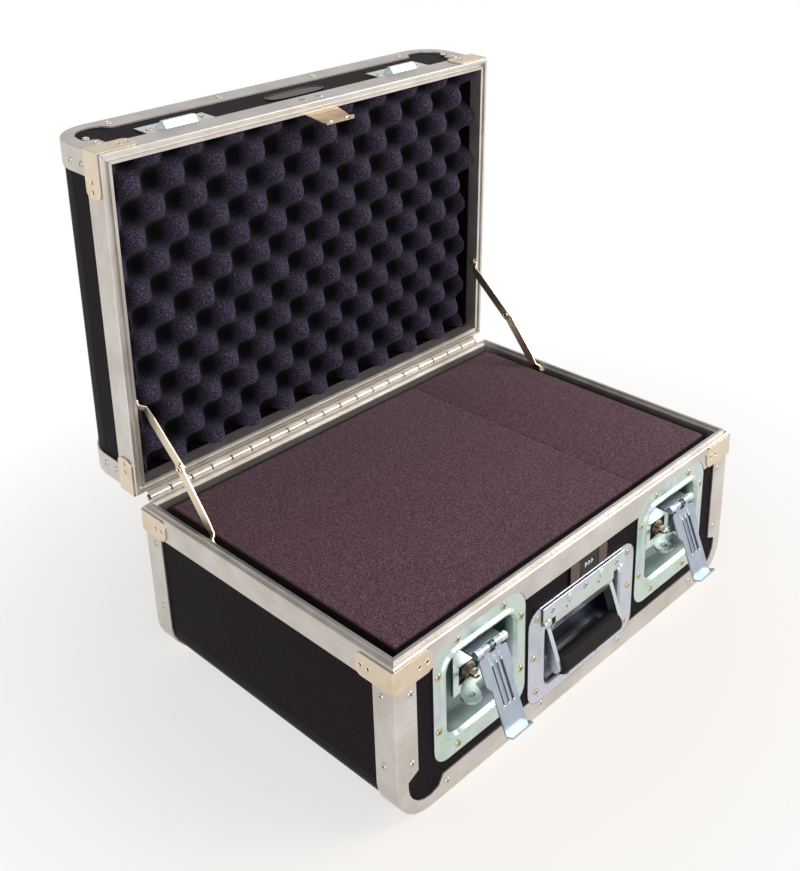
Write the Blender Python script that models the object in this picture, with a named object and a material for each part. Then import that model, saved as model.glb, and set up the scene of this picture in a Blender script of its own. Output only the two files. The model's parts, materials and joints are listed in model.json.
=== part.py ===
"""Shipping case with an aluminium-edged body, a hinged lid and two recessed latches.

The model stands with +Z up and its front towards -Y. Its pieces are drawn about the centre of
the base's bent sheet, and an empty then moves them all, so that the origin lies on the ground
under the middle of the front edging's lower leg. The lid stands open, as its stays hold it.
Lid pieces are drawn in their closed place and turned open by the empty on the hinge axis.
"""

import math

import bmesh
import bpy
import numpy as np
from mathutils import Vector

MM = 0.001

# Case body
CASE_WIDTH = 508.0 * MM
CASE_DEPTH = 350.0 * MM
BASE_HEIGHT = 172.0 * MM
LID_HEIGHT = 93.9 * MM
SEAT = 0.3 * MM
PARTING_GAP = 0.5 * MM
PANEL_THICKNESS = 6.5 * MM
WRAP_RADIUS = 38.0 * MM
OVERRUN = 5.0 * MM

# Rim extrusions
BAND_THICKNESS = 2.0 * MM
BAND_HEIGHT = 26.0 * MM
RIM_WEB = 3.0 * MM
RIM_FLANGE = 1.5 * MM
RIM_FLANGE_DEPTH = 16.0 * MM
TONGUE_HEIGHT = 3.4 * MM
TONGUE_THICKNESS = 2.6 * MM
TONGUE_INSET = 4.4 * MM
GROOVE_CLEARANCE = 0.6 * MM
MITRE_GAP = 0.2 * MM

# Edging
EDGE_THICKNESS = 1.5 * MM
EDGE_LEG = 25.4 * MM
EDGE_ROUND = 1.0 * MM
CORNER_LEG = 13.0 * MM
BASE_NOTCH_RISE = 12.0 * MM
BASE_NOTCH_RUN = 10.0 * MM
NOTCH_SLOPE = 6.0 * MM

# Corner caps
CAP_THICKNESS = 1.2 * MM
CAP_LENGTH = 44.0 * MM
CAP_BACK_LENGTH = 38.0 * MM
CAP_DROP = 3.0 * MM
CAP_END_RADIUS = 7.0 * MM

# Continuous hinge
HINGE_OFFSET = 7.3 * MM
HINGE_RISE = 0.25 * MM
KNUCKLE_RADIUS = 3.2 * MM
KNUCKLE_PITCH = 25.4 * MM
KNUCKLE_GAP = 0.4 * MM
HINGE_PIN_RADIUS = 1.5 * MM
HINGE_BORE = 1.75 * MM
LEAF_THICKNESS = 1.2 * MM
LEAF_DEPTH = 19.0 * MM
HINGE_LENGTH = 482.6 * MM
LID_OPEN_ANGLE = math.radians(88.0)

# Foam
CHANNEL_EDGE = 10.8 * MM
FOAM_TOP_DROP = 1.3 * MM
FOAM_SEAM = 104.5 * MM
FOAM_SEAM_GAP = 0.4 * MM
FOAM_CORNER = 20.0 * MM
FOAM_CHAMFER = 20.0 * MM
FOAM_MERGE = 0.01 * MM
FRONT_LINER = 7.8 * MM
BACK_LINER = 10.8 * MM
LINER_DROP = 7.0 * MM
LINER_SLIT = 0.8 * MM
FRONT_SLOT_WIDTH = 50.0 * MM
FRONT_SLOT_SINK = 2.0 * MM
LID_FOAM_GAP = 4.1 * MM
CRATE_PITCH_X = 48.0 * MM
CRATE_PITCH_Y = 53.4 * MM
CRATE_PEAK = 5.5 * MM
CRATE_DEPTH = 24.0 * MM

# Latches
LATCH_X = 147.8 * MM
LATCH_FLANGE_WIDTH = 120.5 * MM
LATCH_FLANGE_HEIGHT = 127.0 * MM
LATCH_FLANGE_DROP = 9.3 * MM
LATCH_TOP_RADIUS = 22.0 * MM
LATCH_BOTTOM_RADIUS = 17.0 * MM
LATCH_RECESS_WIDTH = 89.0 * MM
LATCH_RECESS_HEIGHT = 84.0 * MM
LATCH_RECESS_DROP = 29.0 * MM
LATCH_RECESS_RADIUS = 13.0 * MM
LATCH_RECESS_DEPTH = 17.0 * MM
DISH_SHEET = 1.2 * MM
DISH_DRAFT = 5.0 * MM
DISH_CLEARANCE = 0.5 * MM
BEAD_WIDTH = 7.0 * MM
BEAD_HEIGHT = 2.2 * MM
SPINDLE_DROP = 78.5 * MM
BARREL_DROP = 34.5 * MM
BARREL_OUT = 12.0 * MM
BARREL_RADIUS = 3.8 * MM
BARREL_LENGTH = 39.0 * MM
HASP_PIN_RADIUS = 1.8 * MM
HASP_BORE = 2.1 * MM
SPRING_HALF = 3.6 * MM
ARM_KNUCKLE_END = 11.4 * MM
CARRIER_WIDTH = 40.0 * MM
CARRIER_THICKNESS = 2.0 * MM
CARRIER_DROP = 94.0 * MM
CARRIER_FLOOR_GAP = 0.5 * MM
SHELF_DROP = 1.0 * MM
CAM_RADIUS = 9.0 * MM
CAM_THROW = 3.0 * MM
CAM_CLEARANCE = 0.9 * MM
BOSS_RADIUS = 7.5 * MM
TONGUE_WIDTH = 5.0 * MM
TONGUE_RADIUS = 3.2 * MM
WING_AXIS_OUT = -6.0 * MM
WING_PIN_RADIUS = 1.4 * MM
WING_THICKNESS = 3.0 * MM
WING_LOBE_REACH = 14.0 * MM
WING_LOBE_X = 20.5 * MM
WING_LOBE_RADIUS = 9.5 * MM
WING_HOLE_RADIUS = 4.0 * MM
WING_ROOT_HALF = 15.0 * MM
ARM_LENGTH = 80.0 * MM
ARM_THICKNESS = 1.8 * MM
ARM_WIDTH = 27.0 * MM
ARM_SHOULDER = 36.0 * MM
ARM_SHOULDER_LENGTH = 24.0 * MM
ARM_HOOK = 7.5 * MM
ARM_RIB_HEIGHT = 0.8 * MM
ARM_SWING = math.radians(22.4)
LATCH_TRAVEL = 6.0 * MM

# Keepers and catch
KEEPER_WIDTH = 77.0 * MM
KEEPER_HEIGHT = 24.0 * MM
KEEPER_THICKNESS = 1.2 * MM
STRIKE_WIDTH = 36.0 * MM
STRIKE_RISE = 6.4 * MM
STRIKE_SLOPE = 8.0 * MM
CATCH_WIDTH = 42.0 * MM
CATCH_END_WIDTH = 37.0 * MM
CATCH_REACH = 29.0 * MM
CATCH_ROOT = 20.0 * MM
CATCH_THICKNESS = 1.2 * MM
CATCH_LEAN = 4.0 * MM
CATCH_FOOT = 5.0 * MM

# Handle
HANDLE_FLANGE_WIDTH = 165.0 * MM
HANDLE_FLANGE_BOTTOM = 15.6 * MM
HANDLE_FLANGE_TOP = 123.9 * MM
HANDLE_FLANGE_RADIUS = 17.0 * MM
HANDLE_RECESS_WIDTH = 118.0 * MM
HANDLE_RECESS_BOTTOM = 30.0 * MM
HANDLE_RECESS_TOP = 102.0 * MM
HANDLE_RECESS_RADIUS = 9.0 * MM
HANDLE_RECESS_DEPTH = 21.0 * MM
HANDLE_BEAD = 4.0 * MM
COVER_WIDTH = 127.0 * MM
COVER_BOTTOM = 81.0 * MM
COVER_TOP = 121.0 * MM
COVER_DIP = 5.0 * MM
BAIL_AXIS_Z = 92.0 * MM
BAIL_AXIS_OUT = -8.5 * MM
BAIL_ROD_RADIUS = 3.0 * MM
GRIP_Z = 49.0 * MM
GRIP_OUT = 8.0 * MM
GRIP_RADIUS = 10.5 * MM
GRIP_LENGTH = 92.0 * MM
BAIL_ARM_THICKNESS = 5.0 * MM
BAIL_ARM_DEPTH = 11.0 * MM

# Combination lock
LOCK_X = 7.0 * MM
LOCK_WIDTH = 58.0 * MM
LOCK_HEIGHT = 20.5 * MM
LOCK_PROUD = 1.2 * MM
LOCK_BODY_DEPTH = 14.0 * MM
DIAL_RADIUS = 7.5 * MM
DIAL_WIDTH = 4.0 * MM
DIAL_GAP = 0.6 * MM
DIAL_AXIS_OUT = -6.0 * MM
DIAL_FACES = 10
DIAL_COUNT = 3

# Lid stays
STAY_Y = 76.0 * MM
STAY_BASE_DROP = 6.0 * MM
STAY_LID_RISE = 5.0 * MM
STAY_THICKNESS = 1.5 * MM
STAY_WIDTH = 11.0 * MM
STAY_FOOT_WIDTH = 7.6 * MM
STAY_BEND = 6.5 * MM
STAY_JOG = 9.0 * MM
STAY_FOOT_LENGTH = 5.0 * MM
STAY_CLEARANCE = 0.4 * MM
RIVET_RADIUS = 3.2 * MM
RIVET_HEIGHT = 1.2 * MM
STUD_RADIUS = 2.0 * MM
STUD_CLEARANCE = 0.4 * MM

# Counts and shares
CORNER_STEPS = 5
ROUND_SIDES = 16
SMALL_SIDES = 10
CRATE_STEPS = 4
SPRING_TURNS = 3

# Derived levels
HALF_WIDTH = CASE_WIDTH / 2
HALF_DEPTH = CASE_DEPTH / 2
RIM_Z = BASE_HEIGHT
LID_RIM_Z = RIM_Z + PARTING_GAP
SKIN_INSET = BAND_THICKNESS + SEAT
WRAP_X = HALF_WIDTH - SKIN_INSET
PANEL_Y = HALF_DEPTH - SKIN_INSET
INNER_X = WRAP_X - PANEL_THICKNESS
INNER_Y = PANEL_Y - PANEL_THICKNESS
RIM_WIDTH = SKIN_INSET + PANEL_THICKNESS + SEAT + RIM_FLANGE
LID_TOP = LID_RIM_Z + LID_HEIGHT
HINGE_Y = HALF_DEPTH + HINGE_OFFSET
HINGE_Z = RIM_Z + HINGE_RISE
FLANGE_FACE = SEAT + DISH_SHEET
LATCH_FLANGE_TOP = RIM_Z - LATCH_FLANGE_DROP
LATCH_FLANGE_BOTTOM = LATCH_FLANGE_TOP - LATCH_FLANGE_HEIGHT
LATCH_RECESS_TOP = RIM_Z - LATCH_RECESS_DROP
LATCH_RECESS_BOTTOM = LATCH_RECESS_TOP - LATCH_RECESS_HEIGHT
SPINDLE_Z = RIM_Z - SPINDLE_DROP
BARREL_Z = RIM_Z - BARREL_DROP
CARRIER_BOTTOM = RIM_Z - CARRIER_DROP
LINER_FACE = HALF_DEPTH - RIM_WIDTH - SEAT
FOAM_FRONT_EDGE = LINER_FACE - FRONT_LINER - LINER_SLIT
FOAM_BACK_EDGE = LINER_FACE - BACK_LINER - LINER_SLIT
LID_FOAM_FRONT = LINER_FACE - LID_FOAM_GAP


def clear_scene():
    """Remove every object, so that the script starts from an empty scene."""
    for old in list(bpy.data.objects):
        bpy.data.objects.remove(old, do_unlink=True)


MATERIALS = {}


def material(name, colour, roughness, metallic):
    """Return the named Principled material, made on first use."""
    if name not in MATERIALS:
        made = bpy.data.materials.new(name)
        made.use_nodes = True
        shader = made.node_tree.nodes["Principled BSDF"]
        shader.inputs["Base Color"].default_value = (*colour, 1)
        shader.inputs["Roughness"].default_value = roughness
        shader.inputs["Metallic"].default_value = metallic
        made.diffuse_color = (*colour, 1)
        MATERIALS[name] = made
    return MATERIALS[name]


def laminate():
    return material("laminate", (0.035, 0.028, 0.03), 0.6, 0)


def aluminium():
    return material("aluminium", (0.72, 0.71, 0.69), 0.35, 1)


def nickel():
    return material("nickel_steel", (0.66, 0.58, 0.46), 0.3, 1)


def zinc():
    return material("zinc_steel", (0.68, 0.75, 0.77), 0.3, 1)


def brass():
    return material("brass_wire", (0.55, 0.38, 0.16), 0.35, 1)


def rubber():
    return material("rubber", (0.025, 0.022, 0.022), 0.7, 0)


def foam():
    return material("foam", (0.07, 0.055, 0.07), 0.95, 0)


def black_plastic():
    return material("black_plastic", (0.02, 0.02, 0.02), 0.4, 0)


def link(name, data, finish, parent=None):
    """Put mesh or curve data into the scene, placed so that it keeps its world coordinates."""
    made = bpy.data.objects.new(name, data)
    bpy.context.scene.collection.objects.link(made)
    if finish is not None:
        data.materials.append(finish)
    made.parent = parent or bpy.data.objects[ROOT]
    made.location = -HOME[made.parent.name]
    return made


HOME = {}
ROOT = "case_origin"


def pivot(name, place, parent=None):
    """Add an empty on a joint axis. HOME keeps the point as it is before any turn."""
    made = bpy.data.objects.new(name, None)
    bpy.context.scene.collection.objects.link(made)
    HOME[name] = Vector(place)
    if name != ROOT:
        made.parent = parent or bpy.data.objects[ROOT]
        made.location = HOME[name] - HOME[made.parent.name]
    return made


def as_mesh(name, shape):
    """Turn a bmesh into a mesh whose faces all point outwards."""
    bmesh.ops.recalc_face_normals(shape, faces=shape.faces)
    data = bpy.data.meshes.new(name)
    shape.to_mesh(data)
    shape.free()
    return data


def loft(name, loops, finish=None, parent=None, ring=False):
    """Skin a row of closed loops of points. The ends are capped, or joined in a ring."""
    shape = bmesh.new()
    rows = [[shape.verts.new(point) for point in loop] for loop in loops]
    count = len(rows[0])
    pairs = list(zip(rows, rows[1:]))
    if ring:
        pairs.append((rows[-1], rows[0]))
    for low, high in pairs:
        for i in range(count):
            j = (i + 1) % count
            shape.faces.new((low[i], low[j], high[j], high[i]))
    if not ring:
        shape.faces.new(rows[0])
        shape.faces.new(rows[-1])
    return link(name, as_mesh(name, shape), finish, parent)


def prism(name, outline, low, high, axis, finish=None, parent=None):
    """Extrude a flat outline along X, Y or Z. The outline is in the other two, in that order."""
    def lift(a, b, c):
        return {"X": (c, a, b), "Y": (a, c, b), "Z": (a, b, c)}[axis]

    loops = [[lift(a, b, level) for a, b in outline] for level in (low, high)]
    return loft(name, loops, finish, parent)


def arc(centre_a, centre_b, radius, start, end, steps):
    """Points on an arc, from one angle to another in degrees."""
    angles = np.radians(np.linspace(start, end, steps + 1))
    return [(centre_a + radius * math.cos(t), centre_b + radius * math.sin(t)) for t in angles]


def round_rectangle(left, right, bottom, top, bottom_radius, top_radius, steps=CORNER_STEPS):
    """Outline of a rectangle with arcs for corners, anticlockwise from the lower right."""
    return (
        arc(right - bottom_radius, bottom + bottom_radius, bottom_radius, -90, 0, steps)
        + arc(right - top_radius, top - top_radius, top_radius, 0, 90, steps)
        + arc(left + top_radius, top - top_radius, top_radius, 90, 180, steps)
        + arc(left + bottom_radius, bottom + bottom_radius, bottom_radius, 180, 270, steps)
    )


def circle(centre_a, centre_b, radius, sides):
    """Outline of a regular polygon that stands for a circle."""
    return arc(centre_a, centre_b, radius, 0, 360 - 360 / sides, sides - 1)


def rod(name, start, end, radius, sides, finish=None, parent=None):
    """Round bar between two points."""
    start, end = Vector(start), Vector(end)
    along = (end - start).normalized()
    side = along.orthogonal().normalized()
    other = along.cross(side)
    turns = [2 * math.pi * i / sides for i in range(sides)]
    ring = [side * math.cos(t) * radius + other * math.sin(t) * radius for t in turns]
    return loft(name, [[start + r for r in ring], [end + r for r in ring]], finish, parent)


def box(name, low, high, finish=None, parent=None):
    """Block between two corners."""
    outline = [(low[0], low[1]), (high[0], low[1]), (high[0], high[1]), (low[0], high[1])]
    return prism(name, outline, low[2], high[2], "Z", finish, parent)


def combine(target, tool, operation):
    """Add or subtract another shape, which stays in the file as a hidden guide."""
    step = target.modifiers.new(tool.name, "BOOLEAN")
    step.operation = operation
    step.solver = "EXACT"
    step.object = tool
    tool.hide_render = True
    tool.display_type = "WIRE"
    return target


def cut(target, *tools):
    for tool in tools:
        combine(target, tool, "DIFFERENCE")
    return target


def join(target, *tools):
    for tool in tools:
        combine(target, tool, "UNION")
    return target


def u_outline(half, floor, radius, top):
    """U-shaped outline: straight sides, round lower corners and an open, flat top."""
    return (
        [(-half, top)]
        + arc(-half + radius, floor + radius, radius, 180, 270, CORNER_STEPS + 1)
        + arc(half - radius, floor + radius, radius, 270, 360, CORNER_STEPS + 1)
        + [(half, top)]
    )


def mirrored_up(outline, level):
    """The same outline upside down about a level, as the lid's is."""
    return [(a, 2 * level - b) for a, b in outline]


class Shell:
    """One half of the case. The lid is drawn as a shallow base, then flipped over."""

    def __init__(self, prefix, height, parent, lid):
        self.prefix = prefix
        self.height = height
        self.parent = parent
        self.lid = lid
        self.groove = TONGUE_HEIGHT + GROOVE_CLEARANCE - PARTING_GAP
        self.web = self.groove + BAND_THICKNESS if lid else RIM_WEB
        self.shell_top = height - self.web - SEAT

    def z(self, level):
        return LID_TOP - level if self.lid else level

    def flip(self, outline):
        return [(a, self.z(b)) for a, b in outline]

    def name(self, part):
        return f"{self.prefix}_{part}"

    def wrap(self):
        """Bent sheet that makes both ends and the bottom, or the top, in one piece."""
        outer = u_outline(WRAP_X, 0, WRAP_RADIUS, self.shell_top)
        inner = u_outline(INNER_X, PANEL_THICKNESS, WRAP_RADIUS - PANEL_THICKNESS, self.shell_top)
        outline = self.flip(outer + inner[::-1])
        return prism(self.name("wrap"), outline, -PANEL_Y, PANEL_Y, "Y", laminate(), self.parent)

    def panel(self, part, side):
        """Flat front or back panel that fits inside the bent sheet."""
        outline = self.flip(u_outline(
            INNER_X - SEAT,
            PANEL_THICKNESS + SEAT,
            WRAP_RADIUS - PANEL_THICKNESS - SEAT,
            self.shell_top,
        ))
        levels = sorted((side * INNER_Y, side * PANEL_Y))
        return prism(self.name(part), outline, *levels, "Y", laminate(), self.parent)

    def edging(self, part, side):
        """Angle bent round the U. Its front leg steps in where it goes round each corner."""
        top = self.height - BAND_HEIGHT - SEAT
        grow = SEAT + EDGE_THICKNESS
        face = PANEL_Y + grow

        def outline(offset, lift=0):
            return self.flip(u_outline(WRAP_X + offset, -offset, WRAP_RADIUS + offset, top + lift))

        stations = (
            (face, outline(grow - EDGE_ROUND)),
            (face - EDGE_ROUND, outline(grow)),
            (face - EDGE_LEG, outline(grow)),
        )
        loops = [[(a, side * y, b) for a, b in points] for y, points in stations]
        angle = loft(self.name(part), loops, aluminium(), self.parent)
        hollow = [(a, b) for a, b in outline(SEAT, OVERRUN)]
        levels = sorted((side * (PANEL_Y + SEAT), side * (face - EDGE_LEG - OVERRUN)))
        core = prism(self.name(part + "_core"), hollow, *levels, "Y", None, self.parent)
        window = self.window(part, side, top, face)
        return cut(angle, core, window)

    def window(self, part, side, top, face):
        """Opening inside the front leg, with a stepped notch round each corner."""
        half = WRAP_X + SEAT + EDGE_THICKNESS - EDGE_LEG
        floor = EDGE_LEG - SEAT - EDGE_THICKNESS
        corner_half = WRAP_X + SEAT + EDGE_THICKNESS - CORNER_LEG
        corner_floor = CORNER_LEG - SEAT - EDGE_THICKNESS
        radius = WRAP_RADIUS + SEAT + EDGE_THICKNESS - CORNER_LEG
        step_z = WRAP_RADIUS + BASE_NOTCH_RISE
        step_x = WRAP_X - WRAP_RADIUS - BASE_NOTCH_RUN
        right = (
            [(step_x - NOTCH_SLOPE, floor), (step_x, corner_floor + NOTCH_SLOPE / 2)]
            + arc(corner_half - radius, corner_floor + radius, radius, 270, 360, CORNER_STEPS)
            + [(corner_half, step_z - NOTCH_SLOPE), (half + NOTCH_SLOPE, step_z - NOTCH_SLOPE / 2)]
            + [(half, step_z), (half, top + OVERRUN)]
        )
        outline = self.flip(right + [(-a, b) for a, b in right[::-1]])
        levels = sorted((side * (face - EDGE_THICKNESS - OVERRUN), side * (face + OVERRUN)))
        return prism(self.name(part + "_window"), outline, *levels, "Y", None, self.parent)

    def rim_profile(self):
        """Section of the rim extrusion: distance in from the outer face, and height."""
        top = self.height
        outer_foot = top - BAND_HEIGHT
        flange_in = RIM_WIDTH - RIM_FLANGE
        tongue_in = TONGUE_INSET + TONGUE_THICKNESS
        seat = top - self.web
        if self.lid:
            low = top - self.groove
            mouth = (TONGUE_INSET - GROOVE_CLEARANCE, tongue_in + GROOVE_CLEARANCE)
            crown = [(mouth[0], top), (mouth[0], low), (mouth[1], low), (mouth[1], top)]
        else:
            crest = top + TONGUE_HEIGHT
            crown = [(TONGUE_INSET, top), (TONGUE_INSET, crest), (tongue_in, crest), (tongue_in, top)]
        return (
            [(0, outer_foot), (0, top - BAND_THICKNESS / 2), (BAND_THICKNESS / 2, top)]
            + crown
            + [(RIM_WIDTH, top), (RIM_WIDTH, top - RIM_FLANGE_DEPTH)]
            + [(flange_in, top - RIM_FLANGE_DEPTH), (flange_in, seat)]
            + [(BAND_THICKNESS, seat), (BAND_THICKNESS, outer_foot)]
        )

    def rim(self, part, direction):
        """One mitred length of the rim. Direction is the outward side: front, back, left, right."""
        across = HALF_DEPTH if direction in ("front", "back") else HALF_WIDTH
        length = HALF_WIDTH if direction in ("front", "back") else HALF_DEPTH
        sign = -1 if direction in ("front", "left") else 1
        loops = []
        for end in (-1, 1):
            loop = []
            for inset, level in self.rim_profile():
                along = end * (length - inset - MITRE_GAP)
                out = sign * (across - inset)
                place = (along, out) if direction in ("front", "back") else (out, along)
                loop.append((*place, self.z(level)))
            loops.append(loop)
        return loft(self.name(part), loops, aluminium(), self.parent)

    def cap(self, part, side_x, side_y):
        """Steel angle that covers a corner of the rim, with rounded outer ends."""
        low = self.height - BAND_HEIGHT
        high = self.height - CAP_DROP
        inner = SEAT
        outer = SEAT + CAP_THICKNESS
        spread = [0.0, 0.25, 0.6, 1.0]
        reach_along = CAP_LENGTH if side_y < 0 else CAP_BACK_LENGTH
        round_steps = [(reach_along - CAP_END_RADIUS * (1 - s), s) for s in spread]
        stations = []
        for length, share in round_steps[::-1]:
            trim = CAP_END_RADIUS * (1 - math.sqrt(max(0, 1 - share * share)))
            stations.append((HALF_WIDTH - length, HALF_DEPTH, 0, 1, trim))
        for turn in np.radians([90, 60, 30, 0]):
            stations.append((HALF_WIDTH, HALF_DEPTH, math.cos(turn), math.sin(turn), 0))
        for length, share in round_steps:
            trim = CAP_END_RADIUS * (1 - math.sqrt(max(0, 1 - share * share)))
            stations.append((HALF_WIDTH, HALF_DEPTH - length, 1, 0, trim))
        loops = []
        for x, y, normal_x, normal_y, trim in stations:
            points = []
            for reach, level in ((outer, low + trim), (outer, high - trim),
                                 (inner, high - trim), (inner, low + trim)):
                points.append((
                    side_x * (x + normal_x * reach),
                    side_y * (y + normal_y * reach),
                    self.z(level),
                ))
            loops.append(points)
        return loft(self.name(part), loops, nickel(), self.parent)

    def build(self):
        """Make the sheet, panels, edging, rim and caps of this half."""
        made = {"wrap": self.wrap()}
        made["front"] = self.panel("front_panel", -1)
        made["back"] = self.panel("back_panel", 1)
        made["front_edging"] = self.edging("front_edging", -1)
        made["back_edging"] = self.edging("back_edging", 1)
        for direction in ("front", "back", "left", "right"):
            made[direction + "_rim"] = self.rim(direction + "_rim", direction)
        for row, side_y in (("front", -1), ("back", 1)):
            for column, side_x in (("left", -1), ("right", 1)):
                part = f"{row}_{column}_cap"
                made[part] = self.cap(part, side_x, side_y)
        return made


def dish_loops(flange, recess, depth, bead, centre_x):
    """Loops of a pressed dish from its floor out to the flange and round behind it.

    Each outline has left, right, bottom, top, bottom radius and top radius.
    """
    def outline(shape, grow):
        left, right, bottom, top, low_radius, top_radius = shape
        points = round_rectangle(
            left - grow, right + grow, bottom - grow, top + grow,
            low_radius + grow, top_radius + grow,
        )
        return [(centre_x + a, b) for a, b in points]

    def at(points, out):
        return [(a, -PANEL_Y - out, b) for a, b in points]

    crest = FLANGE_FACE + bead[1]
    return [
        at(outline(recess, -DISH_DRAFT), -depth + DISH_SHEET),
        at(outline(recess, 0), SEAT),
        at(outline(recess, bead[0] * 0.35), crest),
        at(outline(recess, bead[0] * 0.65), crest),
        at(outline(recess, bead[0]), FLANGE_FACE),
        at(outline(flange, 0), FLANGE_FACE),
        at(outline(flange, 0), SEAT),
        at(outline(recess, DISH_SHEET), SEAT),
        at(outline(recess, DISH_SHEET - DISH_DRAFT), -depth),
    ]


def latch_flange():
    half = LATCH_FLANGE_WIDTH / 2
    return (-half, half, LATCH_FLANGE_BOTTOM, LATCH_FLANGE_TOP, LATCH_BOTTOM_RADIUS, LATCH_TOP_RADIUS)


def latch_recess():
    half = LATCH_RECESS_WIDTH / 2
    return (-half, half, LATCH_RECESS_BOTTOM, LATCH_RECESS_TOP, LATCH_RECESS_RADIUS, LATCH_RECESS_RADIUS)


def handle_flange():
    half = HANDLE_FLANGE_WIDTH / 2
    return (-half, half, HANDLE_FLANGE_BOTTOM, HANDLE_FLANGE_TOP, HANDLE_FLANGE_RADIUS, HANDLE_FLANGE_RADIUS)


def handle_recess():
    half = HANDLE_RECESS_WIDTH / 2
    return (-half, half, HANDLE_RECESS_BOTTOM, HANDLE_RECESS_TOP, HANDLE_RECESS_RADIUS, HANDLE_RECESS_RADIUS)


def grown_prism(name, shape, grow, centre_x, low, high):
    """Cutter with the outline of a dish, a little larger."""
    left, right, bottom, top, low_radius, top_radius = shape
    outline = round_rectangle(
        left - grow, right + grow, bottom - grow, top + grow, low_radius + grow, top_radius + grow,
    )
    return prism(name, [(centre_x + a, b) for a, b in outline], low, high, "Y")


def fit_dish(base, name, flange, recess, centre_x):
    """Cut the panel for the recess, and the rim band and edging leg for the flange."""
    hole = grown_prism(
        name + "_hole", recess, DISH_SHEET + DISH_CLEARANCE, centre_x,
        -PANEL_Y - OVERRUN, -INNER_Y + OVERRUN,
    )
    cut(base["front"], hole)
    notch = grown_prism(
        name + "_notch", flange, SEAT, centre_x,
        -HALF_DEPTH - OVERRUN, -PANEL_Y - SEAT / 2,
    )
    return notch


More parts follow.
